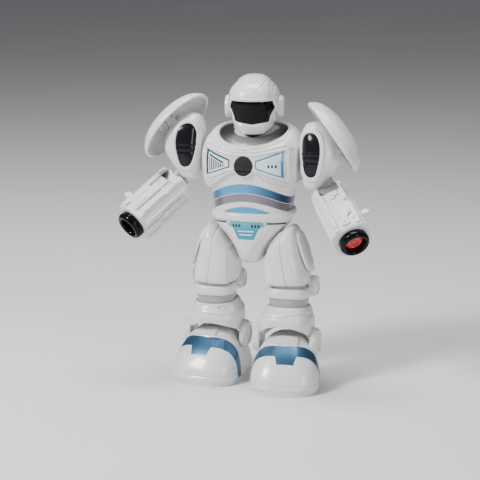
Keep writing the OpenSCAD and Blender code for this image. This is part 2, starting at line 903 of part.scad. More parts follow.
leg(1) knee_core();  // left_knee_core
leg(1) shin_shroud();  // left_shin_shroud
foot_shell(1);  // left_foot_shell
foot_band(1);  // left_foot_band
sole_plate(1);  // left_sole_plate
foot_roller(1);  // left_foot_roller
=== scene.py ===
"""Toy walking robot: the visible surfaces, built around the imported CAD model.

Lengths are in millimetres, apart from those of the lights, camera and floor, which are in metres.
Robot's own left and right: it faces -Y, so its left is +X.
"""

import json
import math

import bpy
import numpy as np
from mathutils import Matrix, Vector


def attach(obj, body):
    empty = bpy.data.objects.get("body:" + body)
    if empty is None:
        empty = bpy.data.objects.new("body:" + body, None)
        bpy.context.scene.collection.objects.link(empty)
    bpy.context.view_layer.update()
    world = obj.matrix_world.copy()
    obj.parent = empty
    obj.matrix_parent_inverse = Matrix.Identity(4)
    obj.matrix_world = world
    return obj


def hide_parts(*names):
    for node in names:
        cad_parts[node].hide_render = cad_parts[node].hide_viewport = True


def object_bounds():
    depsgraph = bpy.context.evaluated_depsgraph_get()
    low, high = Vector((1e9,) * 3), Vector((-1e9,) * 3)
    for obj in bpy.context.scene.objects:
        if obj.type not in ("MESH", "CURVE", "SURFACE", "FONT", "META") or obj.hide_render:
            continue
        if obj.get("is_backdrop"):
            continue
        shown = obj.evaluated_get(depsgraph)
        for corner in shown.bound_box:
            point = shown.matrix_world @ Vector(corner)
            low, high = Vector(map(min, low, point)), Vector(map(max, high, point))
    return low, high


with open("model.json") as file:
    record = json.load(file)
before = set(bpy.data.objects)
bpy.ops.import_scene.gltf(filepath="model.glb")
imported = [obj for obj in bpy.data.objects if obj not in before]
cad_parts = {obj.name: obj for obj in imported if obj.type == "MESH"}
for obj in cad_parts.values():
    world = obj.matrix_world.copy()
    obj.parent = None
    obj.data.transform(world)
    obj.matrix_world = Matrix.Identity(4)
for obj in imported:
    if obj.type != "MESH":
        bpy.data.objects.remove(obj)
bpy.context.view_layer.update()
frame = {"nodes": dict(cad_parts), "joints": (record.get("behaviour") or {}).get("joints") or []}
MM = 0.001
FAR = 99  # a distance for points that an outline on one side of a surface does not reach

# ---- Materials ----


class Field:
    """A number that varies over a surface, put together as shader math."""

    def __init__(self, tree, socket):
        self.tree = tree
        self.socket = socket

    def op(self, name, *others):
        node = self.tree.nodes.new("ShaderNodeMath")
        node.operation = name
        for slot, value in enumerate((self,) + others):
            if isinstance(value, Field):
                self.tree.links.new(value.socket, node.inputs[slot])
            else:
                node.inputs[slot].default_value = value
        return Field(self.tree, node.outputs[0])

    def __add__(self, other):
        return self.op("ADD", other)

    def __sub__(self, other):
        return self.op("SUBTRACT", other)

    def __mul__(self, other):
        return self.op("MULTIPLY", other)

    def __abs__(self):
        return self.op("ABSOLUTE")

    def high(self, other):
        return self.op("MAXIMUM", other)

    def low(self, other):
        return self.op("MINIMUM", other)

    def inside(self, soft=0.15):
        """1 where the number is below zero, 0 where it is above."""
        return (self * (-1 / soft) + 0.5).high(0).low(1)


class Paint:
    """A principled material whose colour, roughness and bump come from nodes."""

    def __init__(self, name, colour, roughness, metallic=0.0, coat=0.0, specular=0.5):
        self.material = bpy.data.materials.new(name)
        self.material.use_nodes = True
        self.tree = self.material.node_tree
        self.shader = self.tree.nodes["Principled BSDF"]
        self.shader.inputs["Base Color"].default_value = (*colour, 1)
        self.shader.inputs["Roughness"].default_value = roughness
        self.shader.inputs["Metallic"].default_value = metallic
        self.shader.inputs["Coat Weight"].default_value = coat
        self.shader.inputs["Coat Roughness"].default_value = 0.06
        self.shader.inputs["Specular IOR Level"].default_value = specular
        self.colour = (*colour, 1)
        self.colour_out = None
        self.coordinates = self.tree.nodes.new("ShaderNodeTexCoord").outputs["Object"]
        split = self.tree.nodes.new("ShaderNodeSeparateXYZ")
        self.tree.links.new(self.coordinates, split.inputs[0])
        self.x, self.y, self.z = (Field(self.tree, split.outputs[k]) * 1000 for k in range(3))

    def noise(self, scale, detail=4.0, stretch=(1, 1, 1)):
        mapping = self.tree.nodes.new("ShaderNodeMapping")
        mapping.inputs["Scale"].default_value = stretch
        self.tree.links.new(self.coordinates, mapping.inputs["Vector"])
        node = self.tree.nodes.new("ShaderNodeTexNoise")
        node.inputs["Scale"].default_value = scale
        node.inputs["Detail"].default_value = detail
        self.tree.links.new(mapping.outputs[0], node.inputs["Vector"])
        return Field(self.tree, node.outputs["Fac"])

    def layer(self, amount, colour):
        """Mixes a colour over what is there, by a field from 0 to 1."""
        mix = self.tree.nodes.new("ShaderNodeMix")
        mix.data_type = "RGBA"
        self.tree.links.new(amount.socket, mix.inputs["Factor"])
        if self.colour_out is None:
            mix.inputs["A"].default_value = self.colour
        else:
            self.tree.links.new(self.colour_out, mix.inputs["A"])
        mix.inputs["B"].default_value = (*colour, 1)
        self.colour_out = mix.outputs["Result"]
        self.tree.links.new(self.colour_out, self.shader.inputs["Base Color"])
        return self

    def vary(self, colour, scale, amount=0.5):
        return self.layer((self.noise(scale) - 0.5) * amount * 2 + amount * 0.5, colour)

    def rough(self, low, high, scale, stretch=(1, 1, 1)):
        field = self.noise(scale, 5.0, stretch) * (high - low) + low
        self.tree.links.new(field.socket, self.shader.inputs["Roughness"])
        return self

    def bump(self, height, strength=0.3, distance=0.0002):
        node = self.tree.nodes.new("ShaderNodeBump")
        node.inputs["Strength"].default_value = strength
        node.inputs["Distance"].default_value = distance
        self.tree.links.new(height.socket, node.inputs["Height"])
        self.tree.links.new(node.outputs[0], self.shader.inputs["Normal"])
        return self


def moulded(name, colour, tint, low, high, coat=0.35, grain=900.0, strength=0.06, specular=0.5):
    """Moulded plastic: slow unevenness of colour and gloss, and a fine orange peel."""
    paint = Paint(name, colour, low, coat=coat, specular=specular)
    paint.vary(tint, 22.0, 0.35)
    paint.rough(low, high, 60.0)
    return paint.bump(paint.noise(grain, 2.0) + paint.noise(45.0, 2.0) * 2.5, strength, 0.0003).material


WHITE = (0.74, 0.74, 0.73)
WHITE_SHADE = (0.67, 0.67, 0.68)
white = moulded("white_abs", WHITE, WHITE_SHADE, 0.20, 0.34)
helmet_white = moulded("helmet_abs", WHITE, WHITE_SHADE, 0.16, 0.28)
grey = moulded("grey_abs", (0.33, 0.34, 0.35), (0.28, 0.29, 0.30), 0.28, 0.42, coat=0.2)
sole_grey = moulded("sole_abs", (0.70, 0.70, 0.69), (0.64, 0.64, 0.64), 0.5, 0.7, coat=0.0, strength=0.2)
black_gloss = moulded(
    "black_gloss", (0.003, 0.003, 0.004), (0.007, 0.007, 0.008), 0.07, 0.12,
    coat=0.0, strength=0.02, specular=0.14,
)
smoked = moulded(
    "smoked_black", (0.006, 0.006, 0.008), (0.020, 0.020, 0.023), 0.12, 0.2,
    coat=0.0, strength=0.03, specular=0.22,
)
dark = moulded("dark_abs", (0.022, 0.022, 0.025), (0.035, 0.035, 0.038), 0.35, 0.5, coat=0.0, strength=0.15)
red = moulded("red_abs", (0.55, 0.02, 0.02), (0.45, 0.015, 0.015), 0.2, 0.3)


def brushed(name, colour, low, high, stretch):
    """Bare metal with fine scratches."""
    paint = Paint(name, colour, low, metallic=1.0)
    paint.vary(tuple(c * 0.8 for c in colour), 30.0, 0.3)
    paint.rough(low, high, 160.0, stretch)
    return paint.bump(paint.noise(700.0, 2.0, stretch), 0.03, 0.00005).material


def lacquer(name, bright, deep, centre, half, metallic=0.75):
    """Metallic lacquer with fine flake, its colour painted brightest in front and darker round the sides, as
    painted reflection and shade.
    """
    paint = Paint(name, bright, 0.26, metallic=metallic, coat=0.3)
    # Painted shade: the colour turns to the deep colour away from the centre line, standing in for
    # reflections that fall off round the sides.
    side = (abs(paint.x - centre) * (1 / half) - 0.4).high(0).low(1)
    paint.layer(side, deep)
    flake = paint.noise(2600.0, 1.0)
    paint.layer((flake - 0.64).high(0).low(0.3) * 0.9, tuple(min(1, c * 1.7) for c in bright))
    paint.rough(0.25, 0.33, 90.0)
    return paint.bump(flake, 0.02, 0.00003).material


# The second colour of each lacquer is painted shade, laid round the sides of the part.
silver = lacquer("silver_plating", (0.50, 0.50, 0.52), (0.035, 0.035, 0.04), -2.0, 22.0, 1.0)
steel = brushed("steel", (0.55, 0.55, 0.56), 0.25, 0.4, (1, 1, 1))
grey_metal = lacquer("grey_lacquer", (0.22, 0.21, 0.225), (0.03, 0.035, 0.045), -6.0, 38.0)
lens_blue = lacquer("lens_blue", (0.06, 0.33, 0.53), (0.04, 0.22, 0.38), -4.0, 34.0)
band_blue = lacquer("band_lacquer", (0.075, 0.32, 0.56), (0.006, 0.03, 0.075), -11.0, 30.0)
foot_blue = lacquer("foot_lacquer", (0.06, 0.16, 0.28), (0.04, 0.10, 0.18), 0.0, 90.0)


def keep_in(field_list):
    """Distance outside a convex outline: the largest of its sides' distances."""
    out = field_list[0]
    for f in field_list[1:]:
        out = out.high(f)
    return out


def sides(paint, corners):
    """Shader distances to the sides of a convex outline in x and z, corners given clockwise."""
    out = []
    for (x0, z0), (x1, z1) in zip(corners, corners[1:] + corners[:1]):
        length = math.hypot(x1 - x0, z1 - z0)
        nx, nz = -(z1 - z0) / length, (x1 - x0) / length
        out.append(paint.x * nx + paint.z * nz - (x0 * nx + z0 * nz))
    return keep_in(out)


def fine_print(paint):
    """The gloss and faint texture of a printed film."""
    paint.rough(0.18, 0.3, 120.0)
    return paint.bump(paint.noise(900.0, 2.0), 0.03, 0.0001).material


STICKER_RIGHT = [(-35.6, 219.0), (-13.4, 211.2), (-13.4, 204.8), (-36.2, 196.6)]
STICKER_LEFT = [(11.4, 210.8), (34.4, 219.2), (34.6, 196.2), (11.4, 204.2)]


def barred_sticker():
    """White film with a dark outline, a slanting bar and upright bars that shorten inwards."""
    paint = Paint("sticker_bars", (0.80, 0.86, 0.88), 0.2, coat=0.3)
    edge = sides(paint, STICKER_RIGHT)
    paint.layer((edge + 0.95).op("MULTIPLY", -1).inside(), (0.004, 0.06, 0.10))
    inner = (edge + 2.1).inside()
    slant = paint.z - 215.0 + (paint.x + 33.5) * 0.46
    paint.layer(inner * (abs(slant) - 0.85).inside() * (paint.x + 19).inside(), (0.004, 0.015, 0.02))
    bars = abs((paint.x * (1 / 2.3)).op("FRACT") - 0.5) - 0.3
    paint.layer(inner * bars.inside(0.05) * (slant + 1.7).inside(), (0.004, 0.02, 0.03))
    return fine_print(paint)


def tinted_sticker():
    """Pale blue film, whiter inwards, with a blue outline and three plain blocks."""
    paint = Paint("sticker_tint", (0.74, 0.83, 0.87), 0.2, coat=0.3)
    paint.layer(((paint.x - 18) * (1 / 24)).high(0).low(1) * 0.5, (0.30, 0.62, 0.78))
    dots = (paint.noise(1400.0, 0.0) - 0.56).high(0).low(0.12) * 4
    paint.layer(dots * ((paint.x - 24) * -0.1).high(0).low(1), (0.50, 0.74, 0.84))
    edge = sides(paint, STICKER_LEFT)
    paint.layer((edge + 0.8).op("MULTIPLY", -1).inside(), (0.02, 0.20, 0.38))
    for centre in (23.2, 26.4, 29.6):
        block = keep_in([abs(paint.x - centre) - 0.9, abs(paint.z - 206.4) - 1.3])
        paint.layer(block.inside(), (0.03, 0.03, 0.035))
    return fine_print(paint)


def badge_print():
    """Teal film, lighter upwards, with two pale bars and six dark blocks."""
    paint = Paint("badge_print", (0.012, 0.24, 0.38), 0.22, coat=0.3)
    paint.layer(((paint.z - 145) * 0.14).high(0).low(1) * 0.7, (0.10, 0.46, 0.60))
    for centre, half in ((144.6, 7.6), (141.4, 6.0)):
        bar = keep_in([abs(paint.x) - half, abs(paint.z - centre) - 0.5])
        paint.layer(bar.inside(), (0.80, 0.88, 0.90))
    for centre in (-12, -9, -6, 6, 9, 12):
        mark = keep_in([abs(paint.x - centre) - 1.0, abs(paint.z - 149.6) - 1.5])
        paint.layer(mark.inside(), (0.004, 0.02, 0.035))
    return fine_print(paint)


def perforated():
    """Charcoal grille with a fine grid of holes, the holes painted darker as the shade inside them."""
    paint = Paint("grille", (0.022, 0.022, 0.024), 0.6, specular=0.2)
    hole = ((paint.x * 2.6).op("SINE") * (paint.z * 2.6).op("SINE")).high(0).low(1)
    # Painted shade: the holes are coloured darker for the shade inside them.
    paint.layer(hole, (0.004, 0.004, 0.005))
    return paint.bump(hole * -1 + 1, 0.6, 0.0004).material


def board():
    """Green solder mask with copper tracks under it."""
    paint = Paint("solder_mask", (0.02, 0.13, 0.06), 0.3)
    tracks = (abs((paint.x * 0.4).op("FRACT") - 0.5) - 0.06).inside(0.02)
    return paint.layer(tracks, (0.05, 0.25, 0.12)).bump(tracks, 0.2, 0.0001).material


dark_teal = moulded("dark_teal", (0.006, 0.05, 0.075), (0.01, 0.06, 0.09), 0.2, 0.3, strength=0.02)
sticker_bars = barred_sticker()
sticker_tint = tinted_sticker()
badge_paint = badge_print()
grille = perforated()
solder_mask = board()
cell_wrap = moulded("cell_wrap", (0.04, 0.14, 0.40), (0.03, 0.10, 0.32), 0.15, 0.3)

# ---- Shape functions ----


def ramp(distance, width):
    """1 where the distance is well below zero, 0 where it is well above, with a soft edge."""
    t = np.clip(0.5 - distance / width, 0, 1)
    return t * t * (3 - 2 * t)


def groove(distance, width):
    """1 where the distance is zero, falling to 0 on both sides."""
    return np.exp(-((distance / width) ** 2))


def outline(u, v, corners, rounding=0.0):
    """Signed distance to a polygon, negative inside, with rounded corners."""
    c = np.array(corners, float)
    best = np.full(np.shape(u), 1e9)
    inside = np.zeros(np.shape(u), bool)
    for (x0, y0), (x1, y1) in zip(c, np.roll(c, -1, 0)):
        ex, ey = x1 - x0, y1 - y0
        t = np.clip(((u - x0) * ex + (v - y0) * ey) / (ex * ex + ey * ey), 0, 1)
        best = np.minimum(best, np.hypot(u - x0 - t * ex, v - y0 - t * ey))
        crosses = (y0 > v) != (y1 > v)
        inside ^= crosses & (u < (v - y0) * ex / (ey if ey else 1e-9) + x0)
    return np.where(inside, -best, best) - rounding


def smooth_table(table, count):
    """A section table read off at evenly spaced places on smooth curves through its rows."""
    rows = np.array(table, float)
    length = np.linalg.norm(np.diff(rows[:, [0, 3, 4]], axis=0), axis=1)
    t = np.concatenate([[0], np.cumsum(np.maximum(length, 1e-6))])
    s = np.linspace(0, t[-1], count)
    i = np.clip(np.searchsorted(t, s, "right") - 1, 0, len(t) - 2)
    h = t[i + 1] - t[i]
    u = (s - t[i]) / h
    out = np.empty((count, rows.shape[1]))
    for k in range(rows.shape[1]):
        y = rows[:, k]
        d = np.diff(y) / np.diff(t)
        m = np.concatenate([[d[0]], np.zeros(len(y) - 2), [d[-1]]])
        same = d[:-1] * d[1:] > 0
        m[1:-1][same] = 2 * d[:-1][same] * d[1:][same] / (d[:-1][same] + d[1:][same])
        a, b = y[i], y[i + 1]
        out[:, k] = (
            a * (1 + 2 * u) * (1 - u) ** 2
            + m[i] * h * u * (1 - u) ** 2
            + b * u * u * (3 - 2 * u)
            + m[i + 1] * h * u * u * (u - 1)
        )
    return out


def loft(table, up, across):
    """A grid of points through superellipse sections. Rows go up, columns go round from +X to +Y.

    A row of the table is height, centre x and y, half width and depth, squareness, and slope along x and y.
    """
    rows = smooth_table(table, up)[:, :, None]
    a = np.radians(np.linspace(0, 360, across, endpoint=False))
    z, cx, cy, rx, ry, n, sx, sy = (rows[:, k] for k in range(8))
    r = ((np.abs(np.cos(a)) / rx) ** n + (np.abs(np.sin(a)) / ry) ** n) ** (-1 / n)
    x, y = r * np.cos(a), r * np.sin(a)
    return np.stack([cx + x, cy + y, z + sx * x + sy * y], -1)


class Skin:
    """A grid of points on a surface, with outward normals."""

    def __init__(self, points, wrap=True):
        self.p = points
        self.wrap = wrap
        up = np.gradient(points, axis=0)
        if self.wrap:
            along = np.roll(points, -1, 1) - np.roll(points, 1, 1)
        else:
            along = np.gradient(points, axis=1)
        n = np.cross(along, up)
        self.n = n / np.maximum(np.linalg.norm(n, axis=2, keepdims=True), 1e-9)

    def at(self, height):
        return self.p + self.n * np.broadcast_to(height, self.p.shape[:2])[..., None]

    @property
    def x(self):
        return self.p[..., 0]

    @property
    def y(self):
        return self.p[..., 1]

    @property
    def z(self):
        return self.p[..., 2]


def quads(rows, cols, wrap, first=0):
    j = np.arange(cols if wrap else cols - 1)
    i = np.arange(rows - 1)[:, None]
    a = first + i * cols + j
    b = first + i * cols + (j + 1) % cols
    return np.stack([a, b, b + cols, a + cols], -1).reshape(-1, 4)


def place(turn=(0, 0, 0), at=(0, 0, 0)):
    """OpenSCAD's rotate and translate as one matrix."""
    x, y, z = (math.radians(t) for t in turn)
    about_z, about_y = Matrix.Rotation(z, 4, "Z"), Matrix.Rotation(y, 4, "Y")
    return Matrix.Translation(at) @ about_z @ about_y @ Matrix.Rotation(x, 4, "X")


def mirror(side):
    return Matrix.Diagonal((side, 1, 1, 1))


SHARP_ANGLE = 38.0
BEVEL_ANGLE = 35


def piece(name, points, faces, material, body, matrix=None, stands_for=(), slot=None, bevel=0.0):
    """Makes a mesh in place and fixes it to its body."""
    points = np.asarray(points, float).reshape(-1, 3)
    flip = False
    if matrix is not None:
        m = np.array(matrix)
        points = points @ m[:3, :3].T + m[:3, 3]
        flip = matrix.determinant() < 0
    faces = [list(f) for f in faces]
    if flip:
        faces = [f[::-1] for f in faces]
    mesh = bpy.data.meshes.new(name)
    mesh.from_pydata((points * MM).tolist(), [], faces)
    mesh.validate()
    mesh.polygons.foreach_set("use_smooth", [True] * len(mesh.polygons))
    mesh.set_sharp_from_angle(angle=math.radians(SHARP_ANGLE))
    mesh.materials.append(material)
    made = bpy.data.objects.new(name, mesh)
    bpy.context.scene.collection.objects.link(made)
    if bevel:
        soften(made, bevel)
    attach(made, body)
    if stands_for:
        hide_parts(*stands_for)
    return made


def soften(thing, width, segments=3):
    """Rounds the sharp edges."""
    modifier = thing.modifiers.new("edge", "BEVEL")
    modifier.width = width * MM
    modifier.segments = segments
    modifier.limit_method = "ANGLE"
    modifier.angle_limit = math.radians(BEVEL_ANGLE)


def solid_grid(points):
    """A wrapped grid closed with a flat fan at each end."""
    rows, cols = points.shape[:2]
    centre = rows * cols
    j = np.arange(cols)
    k = (j + 1) % cols
    low = np.stack([k, j, np.full(cols, centre)], -1)
    high = np.stack([(rows - 1) * cols + j, (rows - 1) * cols + k, np.full(cols, centre + 1)], -1)
    every = np.vstack([points.reshape(-1, 3), points[0].mean(0), points[-1].mean(0)])
    return every, quads(rows, cols, True).tolist() + low.tolist() + high.tolist()


def wall_grid(outer, inner, wrap):
    """Two grids joined round their edges into a thick sheet."""
    rows, cols = outer.shape[:2]
    n = rows * cols
    out = quads(rows, cols, wrap).tolist()
    back = quads(rows, cols, wrap, n)[:, ::-1].tolist()
    rim = []
    for j in range(cols if wrap else cols - 1):
        k = (j + 1) % cols
        top = (rows - 1) * cols
        rim.append([j, n + j, n + k, k])
        rim.append([top + k, n + top + k, n + top + j, top + j])
    if not wrap:
        for i in range(rows - 1):
            a, b = i * cols, (i + 1) * cols
            rim.append([a, b, n + b, n + a])
            rim.append([b + cols - 1, a + cols - 1, n + a + cols - 1, n + b + cols - 1])
    return np.vstack([outer.reshape(-1, 3), inner.reshape(-1, 3)]), out + back + rim


def cut_out(skin, keep, level, thick):
    """The part of a skin where keep is true, as a thin solid whose top is at that level."""
    rows, cols = keep.shape
    faces = quads(rows, cols, skin.wrap)
    faces = faces[keep.reshape(-1)[faces].all(1)]
    used, index = np.unique(faces, return_inverse=True)
    faces = index.reshape(-1, 4)
    top = skin.at(level).reshape(-1, 3)[used]
    low = skin.at(np.asarray(level) - thick).reshape(-1, 3)[used]
    n = len(used)
    edges = np.concatenate([faces[:, [k, (k + 1) % 4]] for k in range(4)])
    key = edges[:, 0] * n + edges[:, 1]
    border = edges[~np.isin(key, edges[:, 1] * n + edges[:, 0])]
    side = np.stack([border[:, 1], border[:, 0], border[:, 0] + n, border[:, 1] + n], -1)
    return np.vstack([top, low]), faces.tolist() + (faces[:, ::-1] + n).tolist() + side.tolist()


def lathe(profile, segments=64):
    """Profile points (radius, height) turned about Z, from the bottom round the outside to the top."""
    prof = np.array(profile, float)
    a = np.linspace(0, 2 * math.pi, segments, endpoint=False)
    r = prof[:, 0][:, None]
    height = np.broadcast_to(prof[:, 1][:, None], (len(prof), segments))
    return np.stack([r * np.cos(a), r * np.sin(a), height], -1)


def rounded_profile(corners, radius, steps=4):
    """Profile corners with each inner one rounded off."""
    c = [np.array(p, float) for p in corners]
    out = [c[0]]
    for before, here, after in zip(c, c[1:], c[2:]):
        a, b = before - here, after - here
        cut = min(radius, np.linalg.norm(a) * 0.45, np.linalg.norm(b) * 0.45)
        start, stop = here + a / np.linalg.norm(a) * cut, here + b / np.linalg.norm(b) * cut
        for k in range(steps + 1):
            t = k / steps
            out.append(start * (1 - t) ** 2 + here * 2 * t * (1 - t) + stop * t * t)
    return out + [c[-1]]


def turned(name, corners, radius, material, body, matrix, segments=64, **extra):
    """A turned solid with rounded corners."""
    points, faces = solid_grid(lathe(rounded_profile(corners, radius), segments))
    return piece(name, points, faces, material, body, matrix, **extra)


def slab(corners, low, high):
    """An outline in x and y raised from one height to another."""
    n = len(corners)
    points = [(x, y, low) for x, y in corners] + [(x, y, high) for x, y in corners]
    faces = [list(range(n))[::-1], list(range(n, 2 * n))]
    faces += [[i, (i + 1) % n, n + (i + 1) % n, n + i] for i in range(n)]
    return points, faces


def anticlockwise(corners):
    area = sum(a[0] * b[1] - b[0] * a[1] for a, b in zip(corners, corners[1:] + corners[:1]))
    return corners if area > 0 else corners[::-1]


def plates(name, outlines, material, body, matrix, bevel=0.35, **extra):
    """Several raised plates as one piece. Each is (corners, low, high)."""
    points, faces = [], []
    for corners, low, high in outlines:
        p, f = slab(anticlockwise(corners), low, high)
        faces += [[len(points) + k for k in face] for face in f]
        points += p
    return piece(name, points, faces, material, body, matrix, bevel=bevel, **extra)


def box(x0, x1, y0, y1):
    return [(x0, y0), (x1, y0), (x1, y1), (x0, y1)]


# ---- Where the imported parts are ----

joints = {j["name"]: j for j in frame["joints"]}


def joint_at(name):
    return [v / MM for v in joints[name]["pos_m"]]


TORSO_Y = joint_at("head_turn")[1] - 2
HEAD = place((0, 0, 10), (0, TORSO_Y + 2, 0))
STRIDE = 4.0  # degrees that each leg is swung at rest, one forward and one back
HIP = joint_at("right_hip")[1:]


def drop(side):
    """The left arm hangs a little lower than the right."""
    lower = joint_at("left_shoulder")[2] - joint_at("right_shoulder")[2]
    return Matrix.Translation((0, 0, lower if side > 0 else 0))


def shoulder(side):
    centre = joint_at("right_shoulder")
    return mirror(side) @ drop(side) @ place((-8, 0, 0), (65.5, centre[1], centre[2]))


def forearm(side):
    elbow = joint_at("right_elbow")
    return mirror(side) @ drop(side) @ place((-54, -24, 21), (-elbow[0], elbow[1], elbow[2]))


def pauldron_place(side):
    return mirror(side) @ drop(side) @ place((-40, 43.6, -28), (73, 6, 235))


def leg(side):
    hip = Vector((0, HIP[0], HIP[1]))
    swing = Matrix.Rotation(math.radians(-side * STRIDE), 4, "X")
    return mirror(side) @ Matrix.Translation(hip) @ swing @ Matrix.Translation(-hip)


def foot(side):
    ankle = joint_at("right_ankle" if side < 0 else "left_ankle")
    return mirror(side) @ place((0, 0, 8), (36.5, ankle[1], 0))


SIDES = (("right", -1), ("left", 1))
ALONG_X = place((0, 90, 0))

# ---- Torso ----

torso_table = [
    [161.6, 0, TORSO_Y, 36.2, 28.2, 2.4, 0, 0.06],
    [166, 0, TORSO_Y, 37, 29, 2.4, 0, 0.05],
    [173, 0, TORSO_Y, 37.8, 30.2, 2.4, 0, 0.03],
    [180, 0, TORSO_Y, 39, 31.5, 2.4, 0, 0],
    [188, 0, TORSO_Y, 41.6, 33.4, 2.7, 0, 0],
    [200, 0, TORSO_Y, 43, 34.2, 3.1, 0, 0],
    [210, 0, TORSO_Y, 43.2, 33.9, 3.2, 0, 0.02],
    [218, 0, TORSO_Y, 42.4, 33, 3, 0, 0.06],
    [225, 0, TORSO_Y, 40.6, 31.8, 2.7, 0, 0.14],
    [229.4, 0, TORSO_Y, 37, 29.9, 2.4, 0, 0.22],
    [231.3, 0, TORSO_Y, 33.6, 28.3, 2.2, 0, 0.28],
    [231.4, 0, TORSO_Y, 32.6, 28, 2.1, 0, 0.3],
    [230, 0, TORSO_Y, 32.2, 27.8, 2.1, 0, 0.3],
]
CHEST_X = [0, 8, 15, 25, 33, 37, 42.5, 60]
CHEST_EDGE = [200.6, 200.2, 198, 191.2, 185.2, 185.4, 189.4, 191]
BOW = [(-9.6, 217.2), (-35.6, 222.6), (-39.6, 219), (-40.2, 195.3), (-36.6, 191.6), (-11.5, 200.9)]
BOW += [(11.5, 200.9), (36.6, 191.6), (40.2, 195.3), (39.6, 219), (35.6, 222.6), (9.6, 217.2)]
DOOR = box(-17, 17, 176, 214)
SWITCH = box(24, 30, 196, 208)
TORSO_ROWS = 220
SPEAKER_Z, SPEAKER_R = 206, 8.9
CHEST_RAISE = 3.2


def saddle(points, low=206.0, high=231.0, lift=4.6):
    """Raises the sides of the yoke above its middle."""
    raised = points.copy()
    share = np.clip((points[..., 2] - low) / (high - low), 0, 1)
    raised[..., 2] += lift * share * np.clip(np.abs(points[..., 0]) / 36, 0, 1.05) ** 2
    return raised


torso = Skin(saddle(loft(torso_table, TORSO_ROWS, 540)))
tx, ty, tz = torso.x, torso.y, torso.z
front = ty < TORSO_Y
row_z = smooth_table(torso_table, TORSO_ROWS)[:, 0][:, None]
chest_edge = np.where(front, np.interp(np.abs(tx), CHEST_X, CHEST_EDGE), 189.5)
speaker = np.where(front, np.hypot(tx, tz - SPEAKER_Z), FAR)
chest = ramp(chest_edge - tz, 1.3) * (1 - 0.85 * ramp(225 - row_z, 16))
chest = np.maximum(chest, ramp(speaker - SPEAKER_R - 0.9, 1.0))
bow = outline(tx, tz, BOW)
yoke = tz - (219.6 + 0.0078 * tx**2)
plate_side = np.abs(tx) - 42.6
torso_height = CHEST_RAISE * chest - 0.9 * groove(tz - chest_edge - 3.4, 0.45) * front * (np.abs(tx) > 14)
torso_height -= front * (1.3 * groove(bow, 0.7) + 1.3 * ramp(bow + 2.6, 1.1))
torso_height -= front * 1.3 * groove(yoke, 0.8) * (np.abs(tx) < 34)
torso_height += front * 0.5 * ramp(-yoke, 2.0) * ramp(226.5 - row_z, -4)
torso_height -= (ty < 0) * 0.9 * groove(plate_side, 0.6) * ramp(np.abs(tz - 206) - 15, 4)


def sag(top, rate):
    """A height that falls away from the middle."""
    return top - rate * tx**2


blue_top, blue_low, grey_low = sag(189.2, 0.0098), sag(180.3, 0.0088), sag(172.3, 0.0086)
wrapped = ty - 16
blue = np.maximum(np.maximum(tz - blue_top, blue_low + 0.3 - tz), wrapped)
grey_band = np.maximum(np.maximum(tz - blue_low + 0.3, grey_low - tz), wrapped)
lens_top, lens_low = sag(167.4, 0.0118), sag(161.4, 0.0004)
lens = np.where(front, np.maximum(tz - lens_top, lens_low - tz), FAR)
stickers = [np.where(front, outline(tx, tz, c, 0.3), FAR) for c in (STICKER_RIGHT, STICKER_LEFT)]
door = np.where(front, FAR, outline(tx, tz, DOOR, 1.0))
switch = np.where(front, FAR, outline(tx, tz, SWITCH, 0.2))
torso_level = torso_height.copy()
torso_height -= 0.5 * ramp(blue, 1.0) + 0.5 * ramp(grey_band, 1.0)
torso_height -= 0.45 * ramp(lens, 1.0) + 0.35 * ramp(stickers[0], 0.9) + 0.35 * ramp(stickers[1], 0.9)
torso_height -= 0.9 * ramp(speaker - SPEAKER_R, 1.0) + 0.8 * ramp(door, 1.0) + 2.0 * ramp(switch, 1.0)

points, faces = solid_grid(torso.at(torso_height))
shells = ("torso_front", "torso_rear")
piece("torso_casing", points, faces, white, "torso", stands_for=shells, slot="body_white")


INLAY_EDGE = 0.55
INLAY_THICK = 0.8


def torso_inlay(name, distance, sink, material, replaced, slot, level=torso_level):
    """A thin piece let into the torso, that much below the level."""
    p, f = cut_out(torso, distance < INLAY_EDGE, level - sink, INLAY_THICK)
    return piece(name, p, f, material, "torso", stands_for=replaced, slot=slot)


torso_inlay("blue_band", blue, 0.2, band_blue, ("abdomen_bands",), "metallic_band")
torso_inlay("grey_band", grey_band, 0.25, grey_metal, ("abdomen_bands",), "metallic_band")
torso_inlay("belly_lens_print", lens, 0.2, lens_blue, ("belly_lens",), "band_blue")
torso_inlay("barred_sticker", stickers[0], 0.14, sticker_bars, ("chest_stickers",), "sticker")
torso_inlay("tinted_sticker", stickers[1], 0.14, sticker_tint, ("chest_stickers",), "sticker")
torso_inlay("battery_door_panel", door, 0.35, white, ("battery_door",), "body_white")
torso_inlay("switch_slot", switch, 1.4, dark, (), "dark_plastic")
dome = torso_level - 0.5 + 0.7 * np.clip(1 - (speaker / 9) ** 2, 0, 1)
torso_inlay("speaker_disc", speaker - SPEAKER_R, 0.0, grille, ("speaker_grille",), "grille", level=dome)

collar_table = [
    [229.2, 0, TORSO_Y, 32.2, 28, 2.1, 0, 0.3],
    [230.4, 0, TORSO_Y, 31.8, 27.6, 2.1, 0, 0.3],
    [231.4, 0, TORSO_Y, 29.4, 25.2, 2.1, 0, 0.28],
    [232.2, 0, TORSO_Y + 1, 24, 21, 2, 0, 0.22],
    [232.6, 0, TORSO_Y + 2, 20, 18.4, 2, 0, 0.16],
    [232.5, 0, TORSO_Y + 2, 19.2, 17.7, 2, 0, 0.16],
    [231.4, 0, TORSO_Y + 2, 18.4, 16.9, 2, 0, 0.16],
    [228.6, 0, TORSO_Y + 2, 18, 16.5, 2, 0, 0.16],
    [228.2, 0, TORSO_Y + 2, 11, 11, 2, 0, 0.16],
]
points, faces = solid_grid(saddle(loft(collar_table, 90, 160)))
piece("collar_cone", points, faces, silver, "torso", stands_for=("collar",), slot="silver_plated")

